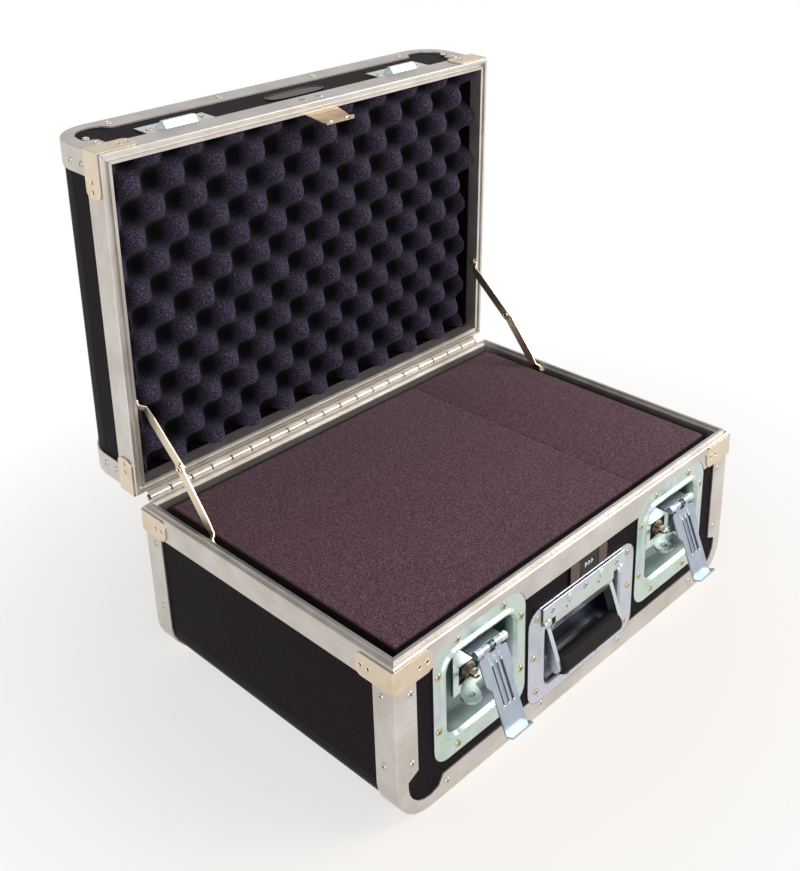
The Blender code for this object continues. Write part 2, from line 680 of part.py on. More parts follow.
class Latch:
    """Recessed twist latch. A cam on the spindle slides the carrier that the hasp hangs from."""

    def __init__(self, side, centre_x, base):
        self.side = side
        self.x = centre_x
        self.base = base
        self.floor = -LATCH_RECESS_DEPTH + DISH_SHEET
        self.plate_back = self.floor + CARRIER_FLOOR_GAP
        self.plate_front = self.plate_back + CARRIER_THICKNESS

    def name(self, part):
        return f"{self.side}_latch_{part}"

    def out(self, distance):
        return -PANEL_Y - distance

    def dish(self):
        notch = fit_dish(self.base, self.name("dish"), latch_flange(), latch_recess(), self.x)
        cut(self.base["front_rim"], notch)
        cut(self.base["front_edging"], notch)
        loops = dish_loops(
            latch_flange(), latch_recess(), LATCH_RECESS_DEPTH, (BEAD_WIDTH, BEAD_HEIGHT), self.x,
        )
        made = loft(self.name("dish"), loops, zinc())
        bore = rod(
            self.name("dish_bore"),
            (self.x, self.out(self.floor + OVERRUN), SPINDLE_Z),
            (self.x, self.out(-LATCH_RECESS_DEPTH - OVERRUN), SPINDLE_Z),
            STUD_RADIUS + STUD_CLEARANCE, SMALL_SIDES,
        )
        return cut(made, bore)

    def carrier(self, slide):
        """Plate with a window for the cam, a shelf above it and the outer hinge knuckles."""
        half = CARRIER_WIDTH / 2
        shelf_top = BARREL_Z - SHELF_DROP
        shelf_bottom = shelf_top - CARRIER_THICKNESS
        made = box(
            self.name("carrier"),
            (self.x - half, self.out(self.plate_front), CARRIER_BOTTOM),
            (self.x + half, self.out(self.plate_back), shelf_top),
            zinc(), slide,
        )
        shelf = box(
            self.name("carrier_shelf"),
            (self.x - BARREL_LENGTH / 2, self.out(BARREL_OUT), shelf_bottom),
            (self.x + BARREL_LENGTH / 2, self.out(self.plate_back), shelf_top),
            None, slide,
        )
        barrel = self.barrel_rod("carrier_barrel", BARREL_LENGTH / 2, BARREL_RADIUS, slide)
        gap = ARM_KNUCKLE_END + SEAT
        clear = BARREL_RADIUS + ARM_THICKNESS
        mouth = box(
            self.name("carrier_mouth"),
            (self.x - gap, self.out(BARREL_OUT + clear), BARREL_Z - clear),
            (self.x + gap, self.out(BARREL_OUT - clear), BARREL_Z + clear),
            None, slide,
        )
        pin = self.barrel_rod("carrier_pin", gap + OVERRUN / 2, HASP_PIN_RADIUS, slide)
        wide = CAM_RADIUS + CAM_THROW + CAM_CLEARANCE
        high = CAM_RADIUS + CAM_CLEARANCE
        centre = SPINDLE_Z + CAM_THROW
        window = box(
            self.name("carrier_window"),
            (self.x - wide, self.out(self.plate_front + OVERRUN), centre - high),
            (self.x + wide, self.out(self.plate_back - OVERRUN), centre + high),
            None, slide,
        )
        join(made, shelf, barrel)
        cut(made, mouth, window)
        return join(made, pin)

    def barrel_rod(self, part, half_length, radius, parent):
        return rod(
            self.name(part),
            (self.x - half_length, self.out(BARREL_OUT), BARREL_Z),
            (self.x + half_length, self.out(BARREL_OUT), BARREL_Z),
            radius, ROUND_SIDES if radius == BARREL_RADIUS else SMALL_SIDES, None, parent,
        )

    def arm(self, swing):
        """Hasp arm, drawn hanging straight down, with shoulders, pressed ribs and a hooked end."""
        neck = ARM_KNUCKLE_END
        shoulder_top = BARREL_Z - BARREL_RADIUS - ARM_THICKNESS
        shoulder_end = shoulder_top - ARM_SHOULDER_LENGTH
        tip = BARREL_Z - ARM_LENGTH
        half = ARM_WIDTH / 2
        right = [
            (half, tip),
            (half, shoulder_end - NOTCH_SLOPE),
            (ARM_SHOULDER / 2, shoulder_end),
            (ARM_SHOULDER / 2, shoulder_top - ARM_THICKNESS),
            (ARM_SHOULDER / 2 - ARM_THICKNESS, shoulder_top),
            (neck, shoulder_top),
            (neck, BARREL_Z),
        ]
        outline = [(self.x + a, b) for a, b in right + [(-a, b) for a, b in right[::-1]]]
        made = prism(
            self.name("arm"), outline,
            self.out(BARREL_OUT + ARM_THICKNESS / 2), self.out(BARREL_OUT - ARM_THICKNESS / 2),
            "Y", zinc(), swing,
        )
        knuckle = self.barrel_rod("arm_knuckle", neck, BARREL_RADIUS, swing)
        hook = box(
            self.name("arm_hook"),
            (self.x - half, self.out(BARREL_OUT + ARM_THICKNESS / 2 + ARM_HOOK), tip),
            (self.x + half, self.out(BARREL_OUT - ARM_THICKNESS / 2), tip + ARM_THICKNESS),
            None, swing,
        )
        join(made, knuckle, hook)
        for step in (-1, 0, 1):
            join(made, self.rib(step, shoulder_top, tip, swing))
        bore = self.barrel_rod("arm_bore", neck + OVERRUN, HASP_BORE, swing)
        clear = BARREL_RADIUS + ARM_THICKNESS
        mouth = box(
            self.name("arm_spring_mouth"),
            (self.x - SPRING_HALF - SEAT, self.out(BARREL_OUT + clear), BARREL_Z - clear),
            (self.x + SPRING_HALF + SEAT, self.out(BARREL_OUT - clear), BARREL_Z + clear),
            None, swing,
        )
        return cut(made, mouth, bore)

    def rib(self, step, top, tip, swing):
        """Long pressed rib on the arm's outer face."""
        pitch = ARM_WIDTH / 4
        high = top - ARM_THICKNESS * 2
        low = tip + ARM_SHOULDER_LENGTH
        half = ARM_THICKNESS / 2
        face = BARREL_OUT + ARM_THICKNESS / 2
        centre = self.x + step * pitch
        outline = [
            (centre - half, self.out(face - ARM_THICKNESS / 2)),
            (centre - half, self.out(face)),
            (centre, self.out(face + ARM_RIB_HEIGHT)),
            (centre + half, self.out(face)),
            (centre + half, self.out(face - ARM_THICKNESS / 2)),
        ]
        return prism(self.name(f"arm_rib_{step + 2}"), outline, low, high, "Z", None, swing)

    def spring(self, slide):
        """Torsion spring wound on the pin between the arm's knuckles."""
        wire = (SPRING_HALF - SEAT) / (SPRING_TURNS + 1) * 0.8
        radius = HASP_PIN_RADIUS + STUD_CLEARANCE + wire
        count = SPRING_TURNS * 10
        reach = SPRING_HALF - SEAT - wire
        points = []
        for i in range(count + 1):
            turn = 2 * math.pi * SPRING_TURNS * i / count
            points.append((
                self.x - reach + 2 * reach * i / count,
                self.out(BARREL_OUT + radius * math.cos(turn)),
                BARREL_Z + radius * math.sin(turn),
            ))
        data = bpy.data.curves.new(self.name("spring"), "CURVE")
        data.dimensions = "3D"
        data.bevel_depth = wire * 0.85
        data.bevel_resolution = 1
        data.use_fill_caps = True
        line = data.splines.new("POLY")
        line.points.add(len(points) - 1)
        for knot, place in zip(line.points, points):
            knot.co = (*place, 1)
        return link(self.name("spring"), data, brass(), slide)

    def cam(self, turn):
        """Spindle with its eccentric cam, the boss in front of it and the tongue that the wing folds on."""
        cam_front = self.plate_front
        made = rod(
            self.name("cam"),
            (self.x, self.out(self.plate_back), SPINDLE_Z + CAM_THROW),
            (self.x, self.out(cam_front), SPINDLE_Z + CAM_THROW),
            CAM_RADIUS, ROUND_SIDES, zinc(), turn,
        )
        stud = rod(
            self.name("cam_stud"),
            (self.x, self.out(-LATCH_RECESS_DEPTH - DISH_SHEET), SPINDLE_Z),
            (self.x, self.out(self.plate_back + CARRIER_THICKNESS / 2), SPINDLE_Z),
            STUD_RADIUS, SMALL_SIDES, None, turn,
        )
        head = rod(
            self.name("cam_stud_head"),
            (self.x, self.out(-LATCH_RECESS_DEPTH - DISH_SHEET - SEAT), SPINDLE_Z),
            (self.x, self.out(-LATCH_RECESS_DEPTH - SEAT), SPINDLE_Z),
            STUD_RADIUS * 2, SMALL_SIDES, None, turn,
        )
        neck = rod(
            self.name("cam_neck"),
            (self.x, self.out(self.plate_back + CARRIER_THICKNESS / 2), SPINDLE_Z),
            (self.x, self.out(cam_front + CARRIER_THICKNESS), SPINDLE_Z),
            CAM_RADIUS - CAM_THROW * 1.5, SMALL_SIDES, None, turn,
        )
        wing_corner = math.hypot(WING_THICKNESS / 2, WING_THICKNESS / 2)
        boss_front = WING_AXIS_OUT - wing_corner - STUD_CLEARANCE
        boss = rod(
            self.name("cam_boss"),
            (self.x, self.out(cam_front + SEAT), SPINDLE_Z),
            (self.x, self.out(boss_front), SPINDLE_Z),
            BOSS_RADIUS, ROUND_SIDES, None, turn,
        )
        join(made, stud, head, neck, boss)
        tongue_half = TONGUE_WIDTH / 2
        tongue = box(
            self.name("cam_tongue"),
            (self.x - tongue_half, self.out(WING_AXIS_OUT), SPINDLE_Z - TONGUE_RADIUS),
            (self.x + tongue_half, self.out(cam_front), SPINDLE_Z + TONGUE_RADIUS),
            None, turn,
        )
        tip = rod(
            self.name("cam_tongue_tip"),
            (self.x - tongue_half, self.out(WING_AXIS_OUT), SPINDLE_Z),
            (self.x + tongue_half, self.out(WING_AXIS_OUT), SPINDLE_Z),
            TONGUE_RADIUS, ROUND_SIDES, None, turn,
        )
        bore = rod(
            self.name("cam_bore"),
            (self.x - BOSS_RADIUS * 2, self.out(WING_AXIS_OUT), SPINDLE_Z),
            (self.x + BOSS_RADIUS * 2, self.out(WING_AXIS_OUT), SPINDLE_Z),
            WING_PIN_RADIUS + STUD_CLEARANCE, SMALL_SIDES, None, turn,
        )
        join(made, tongue, tip)
        return cut(made, bore)

    def wing(self, fold):
        """Butterfly wing, standing straight out, with two lobes, finger holes and its pin."""
        root = WING_AXIS_OUT
        lobe = root + WING_LOBE_REACH
        mouth = TONGUE_WIDTH / 2 + STUD_CLEARANCE
        clear = WING_THICKNESS / 2 + STUD_CLEARANCE * 2
        right = (
            [(mouth, root - WING_THICKNESS / 2), (WING_ROOT_HALF, root - WING_THICKNESS / 2)]
            + arc(WING_LOBE_X, lobe, WING_LOBE_RADIUS, -60, 150, CORNER_STEPS * 2)
            + [(mouth + clear * 2, root + clear * 3), (mouth, root + clear * 2)]
        )
        outline = [(a, b) for a, b in right]
        sides = []
        for sign, part in ((1, "wing"), (-1, "wing_left")):
            points = [(self.x + sign * a, self.out(b)) for a, b in outline]
            finish = zinc() if sign > 0 else None
            half = WING_THICKNESS / 2
            shape = prism(
                self.name(part), points, SPINDLE_Z - half, SPINDLE_Z + half, "Z", finish, fold,
            )
            hole = rod(
                self.name(part + "_hole"),
                (self.x + sign * WING_LOBE_X, self.out(lobe), SPINDLE_Z - OVERRUN),
                (self.x + sign * WING_LOBE_X, self.out(lobe), SPINDLE_Z + OVERRUN),
                WING_HOLE_RADIUS, SMALL_SIDES, None, fold,
            )
            sides.append((shape, hole))
        bridge = box(
            self.name("wing_bridge"),
            (self.x - mouth - clear * 2, self.out(root + clear * 3), SPINDLE_Z - WING_THICKNESS / 2),
            (self.x + mouth + clear * 2, self.out(root + clear * 2), SPINDLE_Z + WING_THICKNESS / 2),
            None, fold,
        )
        pin = rod(
            self.name("wing_pin"),
            (self.x - WING_ROOT_HALF + WING_PIN_RADIUS, self.out(root), SPINDLE_Z),
            (self.x + WING_ROOT_HALF - WING_PIN_RADIUS, self.out(root), SPINDLE_Z),
            WING_PIN_RADIUS, SMALL_SIDES, None, fold,
        )
        (made, right_hole), (left, left_hole) = sides
        join(made, left, bridge, pin)
        return cut(made, right_hole, left_hole)

    def build(self):
        slide = pivot(self.name("slide_axis"), (self.x, self.out(0), BARREL_Z))
        swing = pivot(self.name("swing_axis"), (self.x, self.out(BARREL_OUT), BARREL_Z), slide)
        turn = pivot(self.name("turn_axis"), (self.x, self.out(0), SPINDLE_Z))
        fold = pivot(self.name("fold_axis"), (self.x, self.out(WING_AXIS_OUT), SPINDLE_Z), turn)
        self.dish()
        self.carrier(slide)
        self.arm(swing)
        self.spring(slide)
        self.cam(turn)
        self.wing(fold)
        swing.rotation_euler.x = -ARM_SWING


def keeper(side, centre_x, lid_axis):
    """Plate on the lid with a raised strike, whose far edge the hasp's hook goes over."""
    bottom = LID_RIM_Z + BAND_HEIGHT + SEAT
    top = bottom + KEEPER_HEIGHT
    half = KEEPER_WIDTH / 2
    back = -PANEL_Y - SEAT
    front = back - KEEPER_THICKNESS
    name = f"{side}_keeper"
    made = box(name, (centre_x - half, front, bottom), (centre_x + half, back, top), zinc(), lid_axis)
    hook_edge = BARREL_Z - LATCH_TRAVEL + ARM_LENGTH - ARM_THICKNESS - SEAT * 2
    crest = front - STRIKE_RISE
    profile = [
        (back + (front - back) / 2, bottom + KEEPER_THICKNESS),
        (back + (front - back) / 2, hook_edge),
        (crest, hook_edge),
        (crest, hook_edge - STRIKE_SLOPE / 2),
        (front, bottom + KEEPER_THICKNESS),
    ]
    slope = STRIKE_SLOPE
    loops = []
    for x, share in (
        (centre_x - STRIKE_WIDTH / 2 - slope, 0.0),
        (centre_x - STRIKE_WIDTH / 2, 1.0),
        (centre_x + STRIKE_WIDTH / 2, 1.0),
        (centre_x + STRIKE_WIDTH / 2 + slope, 0.0),
    ):
        flat = back + (front - back) * 0.9
        loops.append([
            (x, y if y >= flat else flat + (y - flat) * max(share, 0.02), z) for y, z in profile
        ])
    strike = loft(name + "_strike", loops, None, lid_axis)
    return join(made, strike)


def catch_tab(lid_axis):
    """Bent tab inside the lid's front rim, which drops behind the lock when the lid shuts."""
    face = HALF_DEPTH - RIM_WIDTH - SEAT
    top = LID_RIM_Z + RIM_FLANGE_DEPTH - CATCH_THICKNESS
    bottom = LID_RIM_Z - CATCH_REACH
    fold = LID_RIM_Z - CATCH_FOOT
    path = [
        (face, top),
        (face, fold),
        (face - CATCH_LEAN, bottom + CATCH_FOOT),
        (face - CATCH_LEAN, bottom),
    ]
    widths = [CATCH_WIDTH, CATCH_WIDTH, CATCH_END_WIDTH, CATCH_END_WIDTH]
    loops = []
    for (reach, level), width in zip(path, widths):
        y = -reach
        loops.append([
            (-width / 2, y, level),
            (width / 2, y, level),
            (width / 2, y + CATCH_THICKNESS, level),
            (-width / 2, y + CATCH_THICKNESS, level),
        ])
    made = loft("lid_catch_tab", loops, nickel(), lid_axis)
    for sign in (-1, 1):
        centre = sign * (CATCH_END_WIDTH / 2 - CATCH_THICKNESS * 2)
        foot = box(
            f"catch_foot_{(sign + 3) // 2}",
            (centre - CATCH_THICKNESS * 2, -face + CATCH_LEAN - CATCH_THICKNESS * 2, bottom),
            (centre + CATCH_THICKNESS * 2, -face + CATCH_LEAN + CATCH_THICKNESS / 2,
             bottom + CATCH_THICKNESS),
            None, lid_axis,
        )
        join(made, foot)
    return made


def hinge_leaf(name, parity, finish, parent, lid):
    """Offset leaf of the continuous hinge, with every other knuckle. The pin is staked in the base's."""
    mirror = -1 if lid else 1

    def level(drop):
        return HINGE_Z - mirror * drop

    leaf_face = HALF_DEPTH + SEAT
    web_top = KNUCKLE_GAP
    outline = [
        (leaf_face, level(LEAF_DEPTH)),
        (leaf_face, level(web_top)),
        (HINGE_Y - KNUCKLE_RADIUS / 2, level(web_top)),
        (HINGE_Y - KNUCKLE_RADIUS / 2, level(web_top + LEAF_THICKNESS)),
        (leaf_face + LEAF_THICKNESS, level(web_top + LEAF_THICKNESS)),
        (leaf_face + LEAF_THICKNESS, level(LEAF_DEPTH)),
    ]
    half = HINGE_LENGTH / 2
    made = prism(name, outline, -half, half, "X", finish, parent)
    count = round(HINGE_LENGTH / KNUCKLE_PITCH)
    pitch = HINGE_LENGTH / count
    for i in range(count):
        start = -half + i * pitch
        end = start + pitch
        if i % 2 == parity:
            ring = rod(
                f"{name}_knuckle_{i}",
                (start + KNUCKLE_GAP / 2, HINGE_Y, HINGE_Z), (end - KNUCKLE_GAP / 2, HINGE_Y, HINGE_Z),
                KNUCKLE_RADIUS, SMALL_SIDES, None, parent,
            )
            join(made, ring)
        else:
            clear = KNUCKLE_RADIUS + KNUCKLE_GAP
            gap = box(
                f"{name}_gap_{i}",
                (start - KNUCKLE_GAP / 2, HINGE_Y - clear, HINGE_Z - clear),
                (end + KNUCKLE_GAP / 2, HINGE_Y + clear, HINGE_Z + clear),
                None, parent,
            )
            cut(made, gap)
    reach = HALF_WIDTH - CAP_BACK_LENGTH - CAP_THICKNESS
    drops = (web_top + LEAF_THICKNESS + SEAT, LEAF_DEPTH + OVERRUN)
    low, high = sorted(level(drop) for drop in drops)
    for sign in (-1, 1):
        start, end = sorted((sign * reach, sign * (half + OVERRUN)))
        notch = box(
            f"{name}_notch_{(sign + 3) // 2}",
            (start, leaf_face - OVERRUN, low), (end, leaf_face + LEAF_THICKNESS * 2, high),
            None, parent,
        )
        cut(made, notch)
    if lid:
        bore = rod(
            f"{name}_bore", (-half - OVERRUN, HINGE_Y, HINGE_Z), (half + OVERRUN, HINGE_Y, HINGE_Z),
            HINGE_BORE, SMALL_SIDES, None, parent,
        )
        return cut(made, bore)
    pin = rod(
        "hinge_pin", (-half - LEAF_THICKNESS, HINGE_Y, HINGE_Z),
        (half + LEAF_THICKNESS, HINGE_Y, HINGE_Z), HINGE_PIN_RADIUS, SMALL_SIDES, None, parent,
    )
    return join(made, pin)


def foam_block(name, left, right, front, back, top):
    """Block on the base's floor. Its lower edges are rounded where they lie in a bend."""
    floor = PANEL_THICKNESS + SEAT
    outline = [(left, top)]
    for edge, side, start in ((left, 1, 180), (right, -1, 270)):
        if abs(edge) > FOAM_SEAM + FOAM_SEAM_GAP:
            centre = edge + side * FOAM_CORNER
            outline += arc(centre, floor + FOAM_CORNER, FOAM_CORNER, start, start + 90, CORNER_STEPS)
        else:
            outline.append((edge, floor))
    outline.append((right, top))
    return prism(name, outline, front, back, "Y", foam())


def base_foam():
    """Two foam blocks with a seam between them, and a liner strip in front and behind."""
    edge_x = HALF_WIDTH - RIM_WIDTH - CHANNEL_EDGE
    top = RIM_Z - FOAM_TOP_DROP
    seam_left, seam_right = FOAM_SEAM - FOAM_SEAM_GAP / 2, FOAM_SEAM + FOAM_SEAM_GAP / 2
    left = foam_block("foam_block_left", -edge_x, seam_left, -FOAM_FRONT_EDGE, FOAM_BACK_EDGE, top)
    right = foam_block("foam_block_right", seam_right, edge_x, -FOAM_FRONT_EDGE, FOAM_BACK_EDGE, top)
    liner_top = RIM_Z - LINER_DROP
    front = foam_block(
        "foam_liner_front", -edge_x, edge_x, -LINER_FACE, -FOAM_FRONT_EDGE - LINER_SLIT, liner_top,
    )
    slot = box(
        "front_slot",
        (-FRONT_SLOT_WIDTH / 2, -LINER_FACE - OVERRUN, HANDLE_FLANGE_TOP - FRONT_SLOT_SINK),
        (FRONT_SLOT_WIDTH / 2, -FOAM_FRONT_EDGE + OVERRUN, RIM_Z + OVERRUN),
    )
    cut(front, slot)
    pockets = (
        ("handle_pocket", handle_recess(), 0, HANDLE_RECESS_DEPTH, left),
        ("left_latch_pocket", latch_recess(), -LATCH_X, LATCH_RECESS_DEPTH + RIVET_HEIGHT, left),
        ("right_latch_pocket", latch_recess(), LATCH_X, LATCH_RECESS_DEPTH + RIVET_HEIGHT, right),
    )
    for name, shape, centre, depth, block in pockets:
        pocket = grown_prism(
            name, shape, DISH_SHEET * 2, centre, -HALF_DEPTH, -PANEL_Y + depth + DISH_SHEET,
        )
        cut(front, pocket)
        cut(block, pocket)
    foam_block("foam_liner_back", -edge_x, edge_x, FOAM_BACK_EDGE + LINER_SLIT, LINER_FACE, liner_top)


def lid_foam(lid_axis):
    """Convoluted foam: sine waves along X and Y multiplied, so that peaks and pits alternate."""
    half_x = HALF_WIDTH - RIM_WIDTH - CHANNEL_EDGE + SEAT
    half_y = LID_FOAM_FRONT
    back = LID_TOP - PANEL_THICKNESS - SEAT
    peak = LID_RIM_Z + CRATE_PEAK
    mean = peak + CRATE_DEPTH / 2
    step_x = CRATE_PITCH_X / CRATE_STEPS
    step_y = CRATE_PITCH_Y / CRATE_STEPS
    count_x = round(2 * half_x / step_x)
    count_y = round(2 * half_y / step_y)
    xs = np.linspace(-half_x, half_x, count_x + 1)
    ys = np.linspace(-half_y, half_y, count_y + 1)
    shape = bmesh.new()
    wave = []
    for x in xs:
        row = []
        for y in ys:
            swell = math.cos(2 * math.pi * x / CRATE_PITCH_X) * math.cos(2 * math.pi * y / CRATE_PITCH_Y)
            row.append(shape.verts.new((x, y, mean - swell * CRATE_DEPTH / 2)))
        wave.append(row)
    for i in range(count_x):
        for j in range(count_y):
            shape.faces.new((wave[i][j], wave[i + 1][j], wave[i + 1][j + 1], wave[i][j + 1]))
    edge = ([row[0] for row in wave] + wave[-1][1:] + [row[-1] for row in wave[-2::-1]]
            + wave[0][-2:0:-1])
    for inset, level in ((0, back - FOAM_CHAMFER), (FOAM_CHAMFER, back)):
        reach = half_x - inset
        ring = [
            shape.verts.new((max(-reach, min(reach, v.co.x)), v.co.y, level)) for v in edge
        ]
        for i in range(len(edge)):
            j = (i + 1) % len(edge)
            shape.faces.new((edge[i], edge[j], ring[j], ring[i]))
        edge = ring
    shape.faces.new(ring)
    bmesh.ops.remove_doubles(shape, verts=shape.verts, dist=FOAM_MERGE)
    return link("lid_foam", as_mesh("lid_foam", shape), foam(), lid_axis)


def handle(base):
    """Recessed dish with a folding bail, its grip, and the plate that hides the pivot."""
    notch = fit_dish(base, "handle_dish", handle_flange(), handle_recess(), 0)
    cut(base["front_edging"], notch)
    cut(base["front_rim"], notch)
    loops = dish_loops(
        handle_flange(), handle_recess(), HANDLE_RECESS_DEPTH, (HANDLE_BEAD, HANDLE_BEAD / 4), 0,
    )
    loft("handle_dish", loops, zinc())
    half = COVER_WIDTH / 2
    face = -PANEL_Y - FLANGE_FACE - HANDLE_BEAD / 4 - SEAT
    profile = [
        (face, COVER_TOP),
        (face, HANDLE_RECESS_TOP - DISH_DRAFT),
        (-PANEL_Y + COVER_DIP, COVER_BOTTOM),
        (-PANEL_Y + COVER_DIP - DISH_SHEET, COVER_BOTTOM - DISH_SHEET / 2),
        (face - DISH_SHEET, HANDLE_RECESS_TOP - DISH_DRAFT),
        (face - DISH_SHEET, COVER_TOP),
    ]
    inner = GRIP_LENGTH / 2 - SEAT
    made = prism("handle_cover", profile, -inner, inner, "X", zinc())
    wide = box(
        "handle_cover_plate",
        (-half, face - DISH_SHEET, HANDLE_RECESS_TOP + BAIL_ROD_RADIUS),
        (half, face, COVER_TOP),
    )
    join(made, wide)
    axis = pivot("handle_axis", (0, -PANEL_Y - BAIL_AXIS_OUT, BAIL_AXIS_Z))
    bail(axis)
    grip(axis)


def bail(axis):
    """Two flat arms on a pivot rod, and the bar that carries the grip."""
    end = GRIP_LENGTH / 2 + SEAT
    near = end
    far = end + BAIL_ARM_THICKNESS
    start = Vector((0, -PANEL_Y - BAIL_AXIS_OUT, BAIL_AXIS_Z))
    stop = Vector((0, -PANEL_Y - GRIP_OUT, GRIP_Z))
    along = (stop - start).normalized()
    side = Vector((0, -along.z, along.y)) * (BAIL_ARM_DEPTH / 2)
    made = rod("handle_bail", start - Vector((far, 0, 0)), start + Vector((far, 0, 0)),
               BAIL_ROD_RADIUS, SMALL_SIDES, zinc(), axis)
    for sign in (-1, 1):
        outline = []
        turns = np.linspace(0, math.pi, CORNER_STEPS + 1)
        for t in turns:
            point = stop + side * math.cos(t) + along * (BAIL_ARM_DEPTH / 2) * math.sin(t)
            outline.append((point.y, point.z))
        for t in turns:
            point = start - side * math.cos(t) - along * (BAIL_ARM_DEPTH / 2) * math.sin(t)
            outline.append((point.y, point.z))
        arm = prism(f"bail_arm_{(sign + 3) // 2}", outline, *sorted((sign * near, sign * far)), "X",
                    None, axis)
        join(made, arm)
    bar = rod("bail_bar", stop - Vector((end + BAIL_ARM_THICKNESS / 2, 0, 0)),
              stop + Vector((end + BAIL_ARM_THICKNESS / 2, 0, 0)), BAIL_ROD_RADIUS, SMALL_SIDES,
              None, axis)
    return join(made, bar)


def grip(axis):
    """Moulded grip: a barrel with rounded ends, bored for the bail's bar."""
    half = GRIP_LENGTH / 2
    shares = ((-1.0, 0.82), (-0.97, 0.94), (-0.93, 1.0), (0.93, 1.0), (0.97, 0.94), (1.0, 0.82))
    loops = []
    for place, swell in shares:
        loops.append([
            (place * half, -PANEL_Y - GRIP_OUT + a, GRIP_Z + b)
            for a, b in circle(0, 0, GRIP_RADIUS * swell, ROUND_SIDES)
        ])
    made = loft("handle_grip", loops, rubber(), axis)
    bore = rod(
        "grip_bore",
        (-half - OVERRUN, -PANEL_Y - GRIP_OUT, GRIP_Z), (half + OVERRUN, -PANEL_Y - GRIP_OUT, GRIP_Z),
        BAIL_ROD_RADIUS + SEAT, SMALL_SIDES, None, axis,
    )
    return cut(made, bore)


def lock(base):
    """Combination lock: a black housing let into the front panel, with three number dials."""
    bottom = HANDLE_FLANGE_TOP + SEAT * 2
    top = bottom + LOCK_HEIGHT
    half = LOCK_WIDTH / 2
    body_half = DIAL_COUNT * (DIAL_WIDTH + DIAL_GAP) / 2 + PANEL_THICKNESS / 2
    axis_z = (bottom + top) / 2
    plate = box(
        "lock_housing",
        (LOCK_X - half, -PANEL_Y - SEAT - LOCK_PROUD, bottom), (LOCK_X + half, -PANEL_Y - SEAT, top),
        black_plastic(),
    )
    drop = DIAL_RADIUS + DIAL_GAP
    body = box(
        "lock_body",
        (LOCK_X - body_half, -PANEL_Y - SEAT - LOCK_PROUD / 2, axis_z - drop - DIAL_GAP),
        (LOCK_X + body_half, -PANEL_Y + LOCK_BODY_DEPTH, axis_z + drop + DIAL_GAP),
    )
    hole = box(
        "lock_hole",
        (LOCK_X - body_half - SEAT, -PANEL_Y - OVERRUN, axis_z - drop - DIAL_GAP - SEAT),
        (LOCK_X + body_half + SEAT, -INNER_Y + OVERRUN, axis_z + drop + DIAL_GAP + SEAT),
    )
    seat = box(
        "lock_seat",
        (LOCK_X - half - SEAT, -HALF_DEPTH - OVERRUN, bottom - SEAT),
        (LOCK_X + half + SEAT, -PANEL_Y - SEAT / 2, top + SEAT),
    )
    cut(base["front"], hole)
    cut(base["front_rim"], hole, seat)
    join(plate, body)
    span = DIAL_COUNT * (DIAL_WIDTH + DIAL_GAP) / 2
    centre_y = -PANEL_Y - DIAL_AXIS_OUT
    well = rod("lock_well", (LOCK_X - span, centre_y, axis_z), (LOCK_X + span, centre_y, axis_z),
               drop, ROUND_SIDES)
    cut(plate, well)
    shaft = rod("lock_shaft", (LOCK_X - span - SEAT, centre_y, axis_z),
                (LOCK_X + span + SEAT, centre_y, axis_z), STUD_RADIUS, SMALL_SIDES)
    join(plate, shaft)
    for i in range(DIAL_COUNT):
        centre = LOCK_X - span + (i + 0.5) * (DIAL_WIDTH + DIAL_GAP)
        spin = pivot(f"dial_{i + 1}_axis", (centre, centre_y, axis_z))
        dial = rod(f"lock_dial_{i + 1}", (centre - DIAL_WIDTH / 2, centre_y, axis_z),
                   (centre + DIAL_WIDTH / 2, centre_y, axis_z), DIAL_RADIUS, DIAL_FACES * 2,
                   black_plastic(), spin)
        bore = rod(f"dial_{i + 1}_bore", (centre - DIAL_WIDTH, centre_y, axis_z),
                   (centre + DIAL_WIDTH, centre_y, axis_z), STUD_RADIUS + STUD_CLEARANCE,
                   SMALL_SIDES, None, spin)
        cut(dial, bore)


def stay_points():
    """Base pivot, open centre pivot, open and closed lid pivots, in Y and Z, and link length."""
    foot = Vector((0, STAY_Y, RIM_Z - STAY_BASE_DROP))
    closed = Vector((0, STAY_Y, LID_RIM_Z + STAY_LID_RISE))
    hinge = Vector((0, HINGE_Y, HINGE_Z))
    turned = closed - hinge
    turned.rotate(ROTATE_OPEN)
    opened = hinge + turned
    middle = (foot + opened) / 2
    along = (opened - foot).normalized()
    square = Vector((0, -along.z, along.y))
    centre = middle + square * STAY_BEND
    return foot, centre, opened


def stay_link(name, start, end, side, layer, foot_rivet, parent):
    """Flat link from its foot at the wall to the centre pivot, jogged inwards near the foot.

    The link is a strip. Each station has a point along it, a distance in from the wall and a
    half width.
    """
    wall = HALF_WIDTH - RIM_WIDTH - SEAT
    along = (end - start).normalized()
    square = Vector((0, -along.z, along.y))
    length = (end - start).length
    inset = STAY_JOG - STAY_THICKNESS * 2 - SEAT if layer else STAY_JOG - STAY_THICKNESS
    inset = inset - STAY_THICKNESS
    foot_half = STAY_FOOT_WIDTH / 2
    full_half = STAY_WIDTH / 2
    stations = [
        (-foot_half, 0, foot_half * 0.6),
        (-foot_half * 0.5, 0, foot_half),
        (STAY_FOOT_LENGTH, 0, foot_half),
        (STAY_FOOT_LENGTH + STAY_JOG / 2, inset, foot_half),
        (STAY_FOOT_LENGTH + STAY_JOG * 2, inset, full_half),
        (length + full_half * 0.5, inset, full_half),
        (length + full_half, inset, full_half * 0.6),
    ]
    loops = []
    for distance, inward, half in stations:
        centre = start + along * distance
        loop = []
        for depth, across in ((0, -half), (0, half), (STAY_THICKNESS, half), (STAY_THICKNESS, -half)):
            point = centre + square * across
            loop.append((side * (wall - inward - depth), point.y, point.z))
        loops.append(loop)
    made = loft(name, loops, nickel(), parent)
    return made, wall, inset


